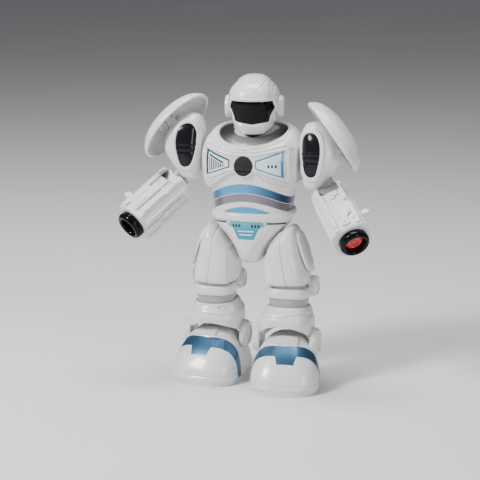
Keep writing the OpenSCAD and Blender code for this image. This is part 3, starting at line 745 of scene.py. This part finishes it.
BELT = [
    (154.6, 35.6, 27.8), (155.3, 37.4, 29.5), (156.6, 38.9, 30.9), (158.9, 39.5, 31.3),
    (161.2, 39, 30.8), (162.6, 37.6, 29.3), (162.9, 36, 28),
]
belt_table = [[z, 0, TORSO_Y, wide, deep, 2.3, 0, 0.06] for z, wide, deep in BELT]
points, faces = solid_grid(loft(belt_table, 40, 240))
piece("belt_band", points, faces, white, "torso", stands_for=("belt_ring",), slot="body_white")

pelvis_table = [
    [111.2, 0, 3, 2, 4, 2, 0, 0],
    [111.5, 0, 3, 5, 9, 2, 0, 0],
    [113.5, 0, 3, 9, 14.5, 2, 0, 0],
    [118, 0, 3, 12.2, 19, 2, 0, 0],
    [126, 0, 3, 15.2, 22.6, 2.1, 0, 0],
    [136, 0, 4, 22, 25, 2.2, 0, 0],
    [146, 0, 6, 31.6, 27, 2.3, 0, 0.03],
    [153, 0, TORSO_Y, 36.4, 28.9, 2.3, 0, 0.05],
    [156.4, 0, TORSO_Y, 36.8, 29, 2.3, 0, 0.06],
]
BADGE = [(-14.6, 153.2), (14.6, 153.2), (17.8, 150.2), (12, 147)]
BADGE += [(7.2, 137.2), (-7.2, 137.2), (-12, 147), (-17.8, 150.2)]
pelvis = Skin(loft(pelvis_table, 140, 420))
px, pz = pelvis.x, pelvis.z
pelvis_front = pelvis.y < 4
badge = np.where(pelvis_front, outline(px, pz, BADGE, 0.2), FAR)
line_z = 152.6 - 0.0014 * px**2
lines = np.maximum(np.abs(pz - line_z) - 0.9, np.abs(np.abs(px) - 26.5) - 7.4)
lines = np.where(pelvis_front, lines, FAR)
height = -0.4 * ramp(badge, 0.9) - 0.4 * ramp(lines, 0.8)
points, faces = solid_grid(pelvis.at(height))
shells = ("pelvis_front", "pelvis_rear")
piece("pelvis_casing", points, faces, white, "torso", stands_for=shells, slot="body_white")
points, faces = cut_out(pelvis, badge < 0.5, np.full(px.shape, -0.14), INLAY_THICK)
piece("badge_plate", points, faces, badge_paint, "torso", stands_for=("belt_badge",), slot="badge")
points, faces = cut_out(pelvis, lines < 0.5, np.full(px.shape, -0.16), INLAY_THICK)
piece("belt_lines", points, faces, dark_teal, "torso", slot="badge")

SCREW = [(0.4, -1.6), (2.4, -1.6), (2.5, 0.25), (1.2, 0.5), (0.9, -0.4), (0.3, -0.4)]
SCREWS = ((-30, 186), (30, 186), (-28, 221), (28, 221), (0, 219))
screw_points, screw_faces = [], []
for x, z in SCREWS:
    index = np.argmin(np.where(front, 1e9, np.abs(tx - x) + np.abs(tz - z)))
    spot = torso.at(torso_level).reshape(-1, 3)[index]
    normal = Vector(torso.n.reshape(-1, 3)[index])
    head, f = solid_grid(lathe(rounded_profile(SCREW, 0.2), 24))
    turn = np.array(normal.to_track_quat("Z", "Y").to_matrix())
    screw_faces += [[len(screw_points) * len(head) + k for k in face] for face in f]
    screw_points.append(head @ turn.T + spot)
piece(
    "screw_heads", np.vstack(screw_points), screw_faces, steel, "torso",
    stands_for=("case_screws",), slot="bare_steel",
)

# ---- Head ----

helmet_table = [
    [236.2, 0, -2, 11, 15, 2.6, 0, 0.17],
    [236.9, 0, -1.9, 14, 18.4, 2.6, 0, 0.17],
    [240, 0, -1, 17.6, 22.6, 2.6, 0, 0.14],
    [246, 0, 0, 20.6, 27, 2.5, 0, 0.06],
    [254, 0, 0, 23, 30, 2.4, 0, 0],
    [262, 0, 0, 24, 31, 2.3, 0, 0],
    [269, 0, 0, 23, 29.5, 2.3, 0, 0],
    [276, 0, 0, 19, 24.5, 2.2, 0, 0],
    [281, 0, 1, 13, 17, 2.1, 0, 0],
    [284.2, 0, 1, 7, 9, 2, 0, 0],
    [284.9, 0, 1, 1.2, 1.5, 2, 0, 0],
]
VISOR = [(-18.6, 263.4), (18.6, 263.4), (20.4, 257.6), (16.6, 250.6), (15.4, 245.2)]
VISOR += [(0, 242.6), (-15.4, 245.2), (-16.6, 250.6), (-20.4, 257.6)]
BROW = [(-15.2, 265.4), (15.2, 265.4), (13.2, 292), (-13.2, 292)]
CHEEK = [(21.4, 257.4), (17.7, 250.2), (16.6, 244), (19.4, 243.6), (22.6, 251)]
CHIN = [(-13.4, 243.4), (0, 240.8), (13.4, 243.4), (10.4, 232), (-10.4, 232)]
helmet = Skin(loft(helmet_table, 220, 480))
hx, hy, hz = helmet.x, helmet.y, helmet.z
face_side = hy < 4
visor = np.where(face_side, outline(hx, hz, VISOR, 0.5), FAR)
brow = np.where(hy < 8, outline(hx, hz, BROW), FAR)
cheek = np.where(face_side, outline(np.abs(hx), hz, CHEEK), FAR)
chin = np.where(face_side, outline(hx, hz, CHIN), FAR)
helmet_height = 0.9 * ramp(visor - 1.8, 1.0) - 1.7 * ramp(cheek, 1.0)
helmet_height += ramp(brow, 0.9) + ramp(chin, 0.9)
crest = np.where(hy < 8, hz - 270.5 - 1.05 * (hx - 2.6), FAR)
helmet_height -= 0.6 * groove(crest, 0.6) * ramp(np.abs(hz - 276) - 6, 2)
temple = np.where(hy < 6, np.abs(np.abs(hx) - 19.0), FAR)
helmet_height -= 0.8 * groove(temple, 0.5) * ramp(264 - hz, 2)
helmet_height -= 0.45 * groove(hy - 8, 0.5) * ramp(240 - hz, 2)
helmet_height -= 2.0 * ramp(visor, 1.2)
points, faces = solid_grid(helmet.at(helmet_height))
shells = ("helmet_front", "helmet_rear")
piece("helmet_shell", points, faces, helmet_white, "head", HEAD, stands_for=shells, slot="helmet_white")
points, faces = cut_out(helmet, visor < 0.6, np.full(hx.shape, -0.35), 1.2)
piece("visor_glass", points, faces, black_gloss, "head", HEAD, stands_for=("visor",), slot="visor_black")
EAR = [(0.4, -2.5), (10.2, -2.5), (10.5, 0.6), (9.9, 2.9), (8.6, 3.5)]
EAR += [(7.4, 3.1), (6.8, 2.1), (5.6, 2.1), (4.8, 2.6), (0.4, 2.8)]
EAR_AT = (23.4, 2, 256)
for name, side in SIDES:
    spot = HEAD @ mirror(side) @ place(at=EAR_AT) @ ALONG_X
    caps = ("ear_caps",)
    turned(name + "_ear_cap", EAR, 0.5, helmet_white, "head", spot, stands_for=caps, slot="helmet_white")

# ---- Arms ----

shoulder_table = [
    [-31.5, -7.5, 0, 1.5, 2, 2, 0, 0],
    [-31.3, -7.5, 0, 5.0, 7.2, 2.6, 0, 0],
    [-29.8, -7, 0, 7.0, 9.6, 2.8, 0, 0],
    [-24, -5.4, 0, 10.6, 12.8, 2.8, 0, 0],
    [-14, -2.6, 0, 14.4, 16.4, 2.8, 0, 0],
    [-4.6, 0, 0, 17.5, 18.3, 2.7, 0, 0],
    [-3, 0, 0, 17.8, 18.5, 2.7, 0, 0],
    [4, -0.4, 0, 17.8, 19, 2.6, 0, 0],
    [12, -2, 0, 16.6, 18.4, 2.5, 0, 0],
    [20, -4.6, 0, 13.8, 15.4, 2.4, 0, 0],
    [26, -6.2, 0, 10, 11, 2.3, 0, 0],
    [29, -7, 0, 6.6, 7.6, 2.2, 0, 0],
    [30.6, -7.2, 0, 1.5, 1.5, 2, 0, 0],
]
DROP = [(-8, 19.6), (-3, 18.2), (0.6, 13), (2.2, 5), (1.4, -4), (-0.8, -13), (-2.8, -19), (-9, -19)]
DROP += [(-11.8, -12.5), (-13.4, -3), (-14.6, 5), (-14.6, 13), (-12, 18)]


def smoothed(corners, rounds=3):
    """An outline with its corners cut again and again until it is smooth."""
    for _ in range(rounds):
        cut = []
        for (ax, ay), (bx, by) in zip(corners, corners[1:] + corners[:1]):
            cut.append((0.75 * ax + 0.25 * bx, 0.75 * ay + 0.25 * by))
            cut.append((0.25 * ax + 0.75 * bx, 0.25 * ay + 0.75 * by))
        corners = cut
    return corners


# Height, half length and half width: the hollow side from its middle out, then the outer side back
PAULDRON = [
    (16.0, 2, 2), (15.4, 12, 8), (12.9, 23, 15.4), (8.6, 31.6, 22.2), (4, 35.6, 25.4),
    (1.6, 36.2, 25.6), (0.3, 36.8, 26), (0.1, 38, 27), (1.0, 38.9, 27.9), (2.6, 38.8, 27.8),
    (5, 37.5, 26.8), (10, 33, 23.2), (14.5, 24, 16), (17, 13, 9), (17.7, 2, 2),
]
pauldron_rim = [[z, 0, 0, long, wide, 2, 0, 0] for z, long, wide in PAULDRON]
# Forearm plates: corners across and along the arm, then where the plate starts and ends outwards
BASE_PLATE = [(-7.2, -45), (7, -45), (7, -38), (11, -35), (11, -16)]
BASE_PLATE += [(12.4, -14.5), (12.4, 9.5), (9.6, 9.5), (9.6, 1.2), (-7.2, 1.2)]
LEAF_PLATE = [(-7.4, -44.5), (-3.2, -44.5), (-3.2, -34), (-1, -31)]
LEAF_PLATE += [(-1, -12), (-3.2, -8), (-4.4, -24), (-7.4, -32)]
MAIN_PLATES = [
    (BASE_PLATE, 16, 17.3),
    ([(-3.4, -42), (4, -42), (4, -33), (8.4, -30), (8.4, -20), (5, -17), (5, -10), (-3.4, -10)], 16, 19.5),
    (box(-1.6, 1.4, -39, -26), 16, 20.3),
    ([(-3.4, -8), (1.6, -8), (1.6, -5), (5.2, -5), (5.2, 0.2), (-3.4, 0.2)], 16, 19.1),
    ([(7.4, -14), (11.2, -14), (11.2, 7), (9.8, 7), (9.8, 0), (7.4, 0)], 16, 19.6),
    (box(8.6, 12.4, -44, -38.5), 16, 18.6),
    (box(4.8, 6.4, -31, -21), 16, 20.1),
    ([(-12.4, -45), (-7.6, -45), (-7.6, 1.2), (-9.6, 1.2), (-9.6, 9.5), (-12.4, 9.5)], 16, 18.2),
    ([(-11.6, -41), (-8.4, -41), (-8.4, -27), (-9.8, -24), (-9.8, -12), (-11.6, -12)], 16, 19.4),
    ([(-11.4, -8), (-8.6, -8), (-8.6, 0.4), (-9.8, 0.4), (-9.8, 6), (-11.4, 6)], 16, 19.1),
]
SIDE_PLATES = [
    ([(-12.2, -44.5), (-8, -44.5), (-8, -30), (-5.5, -27), (-5.5, 8), (-12.2, 8)], 16, 17.9),
    (LEAF_PLATE, 16, 17.2),
    ([(-2.4, -44.5), (3, -44.5), (3, -26), (5.5, -23), (5.5, 2), (1, 5), (0.2, -29), (-2.4, -35)], 16, 18.4),
    ([(4.2, -44.5), (8.6, -44.5), (8.6, -12), (7, -10), (6.8, -24), (4.2, -28)], 16, 17.3),
    ([(9.4, -44.5), (12.2, -44.5), (12.2, 8), (7.6, 8), (7.6, -6), (9.4, -8)], 16, 18),
]
MUZZLE = [(8.7, -38.2), (12.3, -38.2), (12.4, -45.6), (13.6, -46.4), (13.8, -51.4)]
MUZZLE += [(12.2, -54), (10, -54), (8.9, -52.4), (8.6, -40)]
MUZZLE_SEGMENTS = 72
PEG_AT = (16.5, -8, -30)
PEG = [
    ([(-2.9, -2.9), (7.4, -2.9), (7.4, 0.4), (6.2, 0.4), (5.4, 2.9), (-2.9, 2.9)], -2.9, 0.2),
    ([(-2.9, -2.2), (6.2, -2.2), (6.2, 2.2), (-2.9, 2.2)], 0.2, 2.9),
]
DISC = [(0.3, 0), (8.1, 0), (8.2, 3.6), (6.8, 4), (6.2, 3.2), (2.4, 3.2), (2, 4), (0.3, 4)]
SHOULDER_INNER = -18.4  # the casing is cut flat here, clear of the torso

shoulder_skin = Skin(loft(shoulder_table, 190, 360))
sx, sy, sz = shoulder_skin.x, shoulder_skin.y, shoulder_skin.z
drop_edge = np.where(sy < 0, outline(sx, sz, smoothed(DROP), 1.0), FAR)
shoulder_height = 1.3 * ramp(drop_edge - 3.6, 1.0) - 0.6 * groove(sy - 4, 0.5)
drop_level = shoulder_height - 0.7 - 0.5 * ramp(-(sz - 2), 3)
drop_level -= 0.35 * groove(sz + 1, 0.8) + 0.35 * groove(sz + 6.5, 0.8)
shoulder_full = shoulder_height - 1.5 * ramp(drop_edge, 1.0)

for name, side in SIDES:
    arm = name + "_arm"
    at = shoulder(side)
    shell_points = shoulder_skin.at(shoulder_full)
    shell_points[..., 0] = np.maximum(shell_points[..., 0], SHOULDER_INNER)
    points, faces = solid_grid(shell_points)
    shell = (name + "_shoulder_shell",)
    piece(name + "_shoulder_casing", points, faces, white, arm, at, stands_for=shell, slot="arm_white")
    points, faces = cut_out(shoulder_skin, drop_edge < 0.5, drop_level, 0.9)
    inset = (name + "_shoulder_inset",)
    piece(name + "_smoked_inset", points, faces, smoked, arm, at, stands_for=inset, slot="inset_black")

    dome_body = name + "_pauldron"
    over = pauldron_place(side)
    hinge = [(box(-3.6, 5.6, -5, 5), 0, 8.6), (box(-2.4, 4.4, -3.4, 3.4), 0, 12.4)]
    plates(name + "_hinge_block", hinge, white, arm, over, 0.5, slot="arm_white")
    points, faces = solid_grid(loft(pauldron_rim, 130, 220))
    dome_name = name + "_pauldron_dome"
    piece(dome_name, points, faces, white, dome_body, over, stands_for=(dome_body,), slot="arm_white")
    lugs = []
    for x, way in ((-4, -1), (6, 1)):
        for step, depth, low in ((0, 5, 7.4), (1.7, 4, 8.2), (3.4, 5, 7.8), (5.1, 3.6, 9)):
            near, far = x + way * step, x + way * (step + 1.75)
            lugs.append((box(min(near, far), max(near, far), -depth, depth), low, 15.6))
        lugs.append((box(min(x, x + way * 8), max(x, x + way * 8), -1.4, 1.4), 10, 15.4))
    plates(name + "_pauldron_lugs", lugs, white, dome_body, over, 0.5, slot="arm_white")

    body = name + "_forearm"
    fore = forearm(side)
    main = fore @ place((90, 0, 0))
    plates(name + "_main_plates", MAIN_PLATES, white, body, main, 0.3, slot="arm_white")
    back = fore @ place((90, 0, 180))
    flipped = [([(-x, z) for x, z in corners], lo, hi) for corners, lo, hi in MAIN_PLATES]
    plates(name + "_under_plates", flipped, white, body, back, 0.3, slot="arm_white")
    inner = fore @ place((90, 0, -90))
    plates(name + "_inner_slats", SIDE_PLATES, white, body, inner, 0.3, slot="arm_white")

    ring = lathe(rounded_profile(MUZZLE, 0.9), MUZZLE_SEGMENTS)[::-1]
    last = (len(ring) - 1) * MUZZLE_SEGMENTS
    after = [(j + 1) % MUZZLE_SEGMENTS for j in range(MUZZLE_SEGMENTS)]
    faces = quads(len(ring), MUZZLE_SEGMENTS, True).tolist()
    faces += [[last + j, last + k, k, j] for j, k in enumerate(after)]
    muzzle = (name + "_muzzle",)
    piece(name + "_muzzle_ring", ring, faces, black_gloss, body, fore, stands_for=muzzle, slot="muzzle_black")
    peg_body = name + "_trigger"
    spot = fore @ place(at=PEG_AT)
    plates(name + "_trigger_peg", PEG, white, peg_body, spot, 0.4, stands_for=(peg_body,), slot="arm_white")

spot = forearm(1) @ place((180, 0, 0), (0, 0, -45))
turned("launcher_disc", DISC, 0.3, red, "left_disc", spot, stands_for=("left_disc",), slot="disc_red")

# ---- Legs ----

thigh_table = [
    [94.6, 34, 2, 17.6, 19, 3, 0, 0],
    [94.2, 34, 2, 19.6, 21, 3, 0, 0],
    [95.4, 34, 2, 20.9, 22.3, 3, 0, 0],
    [100, 33.8, 2, 21.3, 23.5, 3, 0, 0],
    [112, 32.2, 2, 19.8, 23.8, 3, 0.1, 0],
    [122, 30.6, 2, 18, 23.5, 3, 0.3, 0],
    [132, 30.6, 2, 14.4, 22.5, 2.8, 0.6, 0],
    [139, 31.6, 2, 10.6, 18.5, 2.5, 0.8, 0],
    [143.5, 32, 2, 6.4, 12, 2.2, 0.88, 0],
    [145, 32.2, 2, 1.5, 2, 2, 0.88, 0],
]
shin_table = [
    [44, 35.5, 0, 24.2, 25.2, 2.7, 0, 0],
    [52, 35.5, 0, 24.9, 26, 2.7, 0, 0],
    [60, 35.5, 1, 24.4, 25.4, 2.7, 0, 0],
    [67, 35.8, 1.5, 21.4, 23, 2.7, 0, 0],
    [72.6, 36.1, 2, 18.7, 20.6, 2.6, 0, 0],
    [73.2, 36.2, 2, 17.9, 19.8, 2.6, 0, 0],
]
KNEE_X = 36.3
KNEE_RING = [
    (81.4, 16.6, 18.3), (81.6, 18.4, 20.2), (83.2, 19.8, 21.5), (86, 20.1, 21.9),
    (88.6, 19.8, 21.5), (90.6, 18.2, 20), (90.8, 16.4, 18),
]
ring_table = [[z, KNEE_X, 2, wide, deep, 3, 0, 0] for z, wide, deep in KNEE_RING]
core_table = [
    [70, KNEE_X, 2, 17.2, 19.1, 2.6, 0, 0],
    [76, KNEE_X, 2, 17.5, 19.4, 2.6, 0, 0],
    [82, KNEE_X, 2, 17.8, 19.7, 2.6, 0, 0],
    [84, KNEE_X, 2, 14, 15.6, 2.4, 0, 0],
]
neck_table = [
    [84, KNEE_X, 2, 14, 15.6, 2.4, 0, 0],
    [90, KNEE_X, 2, 16.6, 18.6, 2.6, 0, 0],
    [96, KNEE_X - 0.6, 2, 16.8, 18.6, 2.6, 0, 0],
]
KNEE_DISC = [(0.4, 17), (9.5, 17), (9.7, 22.2), (8.6, 24.4), (6.6, 25)]
KNEE_DISC += [(5.8, 24), (2.4, 24), (1.8, 24.6), (0.4, 24.6)]
KNEE_AT, ANKLE_AT = (KNEE_X, 13, 91), (35.5, 0, 41)
ANKLE_DISC = [(0.4, 24.2), (12.6, 24.2), (13.3, 27.2), (11, 30.6), (8, 31.2), (7.2, 29.8), (0.4, 29.8)]
SHIN_ROWS = 110
SHROUD_WALL = 3.2
HIP_PLATE_LIFT = 2
HIP_PLATE = [[104.6, 4], [106.5, 8.5], [113, 12], [124, 13.2], [134, 12], [140, 8.5], [143, 3]]

thigh = Skin(loft(thigh_table, 120, 260))
lx, ly, lz = thigh.x, thigh.y, thigh.z
seam = np.interp(lz, [97, 122, 143], [38.4, 33.6, 31.3])
seam_line = np.where(ly < 2, lx - seam, lx - seam + 1)
thigh_height = -1.1 * groove(seam_line, 0.5) + 0.5 * ramp(seam_line, 0.7)
inner_edge = lx - np.interp(lz, [95, 130, 145], [19.5, 19.5, 27])
thigh_height -= 1.3 * ramp(inner_edge, 0.9)

shin = Skin(loft(shin_table, SHIN_ROWS, 340))
kx, ky, kz = shin.x, shin.y, shin.z
crease = np.interp(kx, [10, 20, 36, 48, 60], [61.8, 59.4, 57.2, 63.6, 67])
scoop = np.hypot((kx - 23) / 5.2, (kz - 68.4 - 0.1 * (kx - 23)) / 2.9) - 1
shin_height = 0.9 * ramp(crease - kz, 0.8) - groove(kz - crease - 0.6, 0.6)
shin_height -= np.where(ky < 2, 2.0 * ramp(scoop, 0.6), 0.3 * groove(kx - 35.5, 0.5))
phase = np.arctan2(ky - 1, kx - 35.5)
arch = 13 * np.maximum(0, -np.sin(phase)) ** 1.5 + 6 * np.maximum(0, np.sin(phase)) ** 1.5
share = np.linspace(0, 1, SHIN_ROWS)[:, None]


def arched(points):
    """Lifts the lower edge into an arch over the foot."""
    lifted = points.copy()
    lifted[..., 2] += arch * (1 - share)
    return lifted


plate_rows = smooth_table([[z, 0, 0, w, 0, 0, 0, 0] for z, w in HIP_PLATE], 40)
plate_z, plate_w = plate_rows[:, 0], plate_rows[:, 3]
LANES = 25
lane = np.linspace(-1, 1, LANES)
sections = smooth_table(thigh_table, 400)
plate_out, plate_in = [], []
for z, w in zip(plate_z, plate_w):
    s = sections[np.argmin(np.abs(sections[40:, 0] - z)) + 40]
    y = lane * w
    x = s[3] * np.maximum(1 - np.abs(y / s[4]) ** s[5], 0.02) ** (1 / s[5])
    edge = 1.5 * (np.abs(lane) ** 4) + 1.2 * abs((z - 124) / 20) ** 4
    reach = s[1] + x
    level = np.full(LANES, z) + HIP_PLATE_LIFT
    plate_out.append(np.stack([reach + 6.0 - edge, s[2] + y, level], -1))
    plate_in.append(np.stack([reach + 2.2, s[2] + y, level], -1))
plate_out, plate_in = np.array(plate_out), np.array(plate_in)

# Shoe sections, heel last: place along the foot, half width and height
foot_table = [
    [-49.4, 3, 5.9], [-49, 9, 8.4], [-47.6, 16.4, 13.6], [-43, 24.6, 22], [-36, 30, 30.6], [-28, 32, 38.2],
    [-20, 32.4, 44.6], [-11, 31, 49.4], [0, 29, 50.8], [11, 27.5, 47], [20, 26.5, 39],
    [28, 23.5, 28], [33, 18, 18], [35.2, 11, 11], [35.6, 4, 7],
]
SOLE = 5.0
SQUARE = 2.4
rows = smooth_table([[y, 0, 0, w, h, 0, 0, 0] for y, w, h in foot_table], 170)
turn = np.radians(np.linspace(180, 0, 200))
wide, tall = rows[:, 3][:, None], rows[:, 4][:, None] - SOLE
r = ((np.abs(np.cos(turn)) / wide) ** SQUARE + (np.abs(np.sin(turn)) / tall) ** SQUARE) ** (-1 / SQUARE)
along = np.broadcast_to(rows[:, 0][:, None], r.shape)
shoe = Skin(np.stack([r * np.cos(turn), along, SOLE + r * np.sin(turn)], -1), wrap=False)
middle = (shoe.p.shape[0] // 2, shoe.p.shape[1] // 2)
if shoe.n[middle][2] < 0:
    shoe.n = -shoe.n
fx, fy, fz = shoe.x, shoe.y, shoe.z
shoe_band = np.maximum(fy - (-24.2 + 0.0105 * fx**2), (-32.6 + 0.0085 * fx**2) - fy)
tab = np.maximum(np.abs(fx - 1.5) - 7.8 - (fy + 38) * 0.34, np.abs(fy + 34.4) - 4.0)
shoe_band = np.where(fy < 0, np.minimum(shoe_band, tab), FAR)
instep = outline(fx, fy, box(-8.5, 11.5, -22.6, -15.0))
shoe_height = -0.5 * ramp(shoe_band, 1.0) + 2.0 * ramp(instep, 0.9) - 0.35 * groove(fy - 16, 0.6)
shoe_height -= 0.6 * groove(fz - 9.5, 0.6) * (fy < -20)
KNEE_PARTS = (
    ("knee_band", ring_table, 40, white, "leg_white"),
    ("shin_core", core_table, 40, grey, "grey_plastic"),
    # The knee neck is white plastic given the grey material as painted shade, for its recess between thigh
    # and knee band.
    ("shaded_knee_neck", neck_table, 20, grey, "grey_plastic"),
)

for name, side in SIDES:
    body = name + "_leg"
    at = leg(side)
    points, faces = solid_grid(thigh.at(thigh_height))
    shells = (name + "_thigh_outer", name + "_thigh_inner")
    piece(name + "_thigh", points, faces, white, body, at, stands_for=shells, slot="leg_white")
    points, faces = wall_grid(plate_out, plate_in, False)
    piece(name + "_hip_plate", points, faces, white, body, at, slot="leg_white")
    core = (name + "_knee_core",)
    for part, table, count, material, slot in KNEE_PARTS:
        points, faces = solid_grid(loft(table, count, 180))
        piece(name + "_" + part, points, faces, material, body, at, stands_for=core, slot=slot)
    for k, edge in ((1, "outer"), (-1, "inner")):
        spot = at @ place(at=KNEE_AT) @ mirror(k) @ ALONG_X
        turned(name + "_" + edge + "_knee_disc", KNEE_DISC, 0.8, white, body, spot, slot="leg_white")
        spot = at @ place(at=ANKLE_AT) @ mirror(k) @ ALONG_X
        turned(name + "_" + edge + "_ankle_disc", ANKLE_DISC, 0.7, white, body, spot, slot="leg_white")
    points, faces = wall_grid(arched(shin.at(shin_height)), arched(shin.at(-SHROUD_WALL)), True)
    shroud = (name + "_shin_shroud",)
    piece(name + "_shroud", points, faces, white, body, at, stands_for=shroud, slot="leg_white")

    body = name + "_foot"
    spot = foot(side)
    points, faces = solid_grid(shoe.at(shoe_height))
    piece(name + "_shoe", points, faces, white, body, spot, stands_for=(body + "_shell",), slot="leg_white")
    points, faces = cut_out(shoe, shoe_band < INLAY_EDGE, np.full(fx.shape, -0.2), INLAY_THICK)
    band = (body + "_band",)
    piece(name + "_shoe_band", points, faces, foot_blue, body, spot, stands_for=band, slot="band_blue")

# ---- CAD parts that stay, with their own materials ----

KEPT = {
    "neck_stem": dark, "loudspeaker": steel, "circuit_board": solder_mask,
    "battery_box": dark, "battery_cells": cell_wrap,
    "gearbox_frame": grey, "drive_motor": steel, "motor_pinion": steel,
    "crank_gear": grey, "power_switch": dark,
    "right_upper_arm": grey, "left_upper_arm": grey,
    "right_forearm_shell": white, "left_forearm_shell": white,
    "right_sole_plate": sole_grey, "left_sole_plate": sole_grey,
    "right_foot_roller": dark, "left_foot_roller": dark,
}
SOFT_EDGED = ("right_forearm_shell", "left_forearm_shell")
SOFT_EDGED += ("right_sole_plate", "left_sole_plate", "power_switch")
for node, material in KEPT.items():
    thing = frame["nodes"][node]
    thing.data.materials.clear()
    thing.data.materials.append(material)
for node in SOFT_EDGED:
    soften(frame["nodes"][node], 0.4, 2)

# ---- Floor, light and camera ----


AIM = (0, 0, 0.16)
# Name, place, size and watts of each soft light
LIGHTS = (
    ("key", (-0.9, -1.0, 1.25), (0.4, 0.55), 40),
    ("fill", (1.2, -0.9, 0.6), (0.3, 0.8), 7),
    ("top", (0.0, 0.1, 1.4), (0.8, 0.5), 15),
)
FLOOR_HALF = 6.0
AMBIENT, AMBIENT_STRENGTH = (0.80, 0.79, 0.83, 1), 0.18
CAMERA_AT = (0.420, -1.456, 0.451)
CAMERA_ANGLES = (16.51, 11.87, -0.30)  # round the robot, up, and roll
LENS = 125.1


def area_light(name, place_m, size, power):
    data = bpy.data.lights.new(name, "AREA")
    data.shape = "RECTANGLE"
    data.size, data.size_y = size
    data.energy = power
    light = bpy.data.objects.new(name, data)
    light.location = place_m
    light.rotation_mode = "QUATERNION"
    light.rotation_quaternion = (Vector(AIM) - Vector(place_m)).to_track_quat("-Z", "Y")
    bpy.context.scene.collection.objects.link(light)


def studio():
    """Pale floor, dim even surroundings and the lights."""
    floor_mesh = bpy.data.meshes.new("floor")
    corners = [(x * FLOOR_HALF, y * FLOOR_HALF, 0) for x, y in ((-1, -1), (1, -1), (1, 1), (-1, 1))]
    floor_mesh.from_pydata(corners, [], [[0, 1, 2, 3]])
    paper = Paint("floor_paper", (0.80, 0.79, 0.81), 0.8)
    paper.vary((0.70, 0.69, 0.71), 3.0, 0.3)
    floor_mesh.materials.append(paper.bump(paper.noise(300.0), 0.05, 0.0005).material)
    floor = bpy.data.objects.new("floor", floor_mesh)
    bpy.context.scene.collection.objects.link(floor)
    floor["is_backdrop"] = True
    world = bpy.data.worlds.new("studio")
    bpy.context.scene.world = world
    world.use_nodes = True
    world.node_tree.nodes["Background"].inputs[0].default_value = AMBIENT
    world.node_tree.nodes["Background"].inputs[1].default_value = AMBIENT_STRENGTH
    for light in LIGHTS:
        area_light(*light)


def photo_camera():
    """The camera at the viewing angle the robot was photographed from."""
    azimuth, elevation, roll = (math.radians(angle) for angle in CAMERA_ANGLES)
    level = math.cos(elevation)
    back = Vector((math.sin(azimuth) * level, -math.cos(azimuth) * level, math.sin(elevation)))
    right = (-back).cross(Vector((0, 0, 1))).normalized()
    up = right.cross(-back)
    turned_right = math.cos(roll) * right + math.sin(roll) * up
    turned_up = -math.sin(roll) * right + math.cos(roll) * up
    data = bpy.data.cameras.new("camera")
    data.sensor_width = 36.0
    data.lens = LENS
    data.clip_start, data.clip_end = 0.05, 40
    camera = bpy.data.objects.new("camera", data)
    turn = Matrix((turned_right, turned_up, back)).transposed().to_4x4()
    camera.matrix_world = Matrix.Translation(CAMERA_AT) @ turn
    bpy.context.scene.collection.objects.link(camera)
    bpy.context.scene.camera = camera


studio()
photo_camera()
low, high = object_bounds()
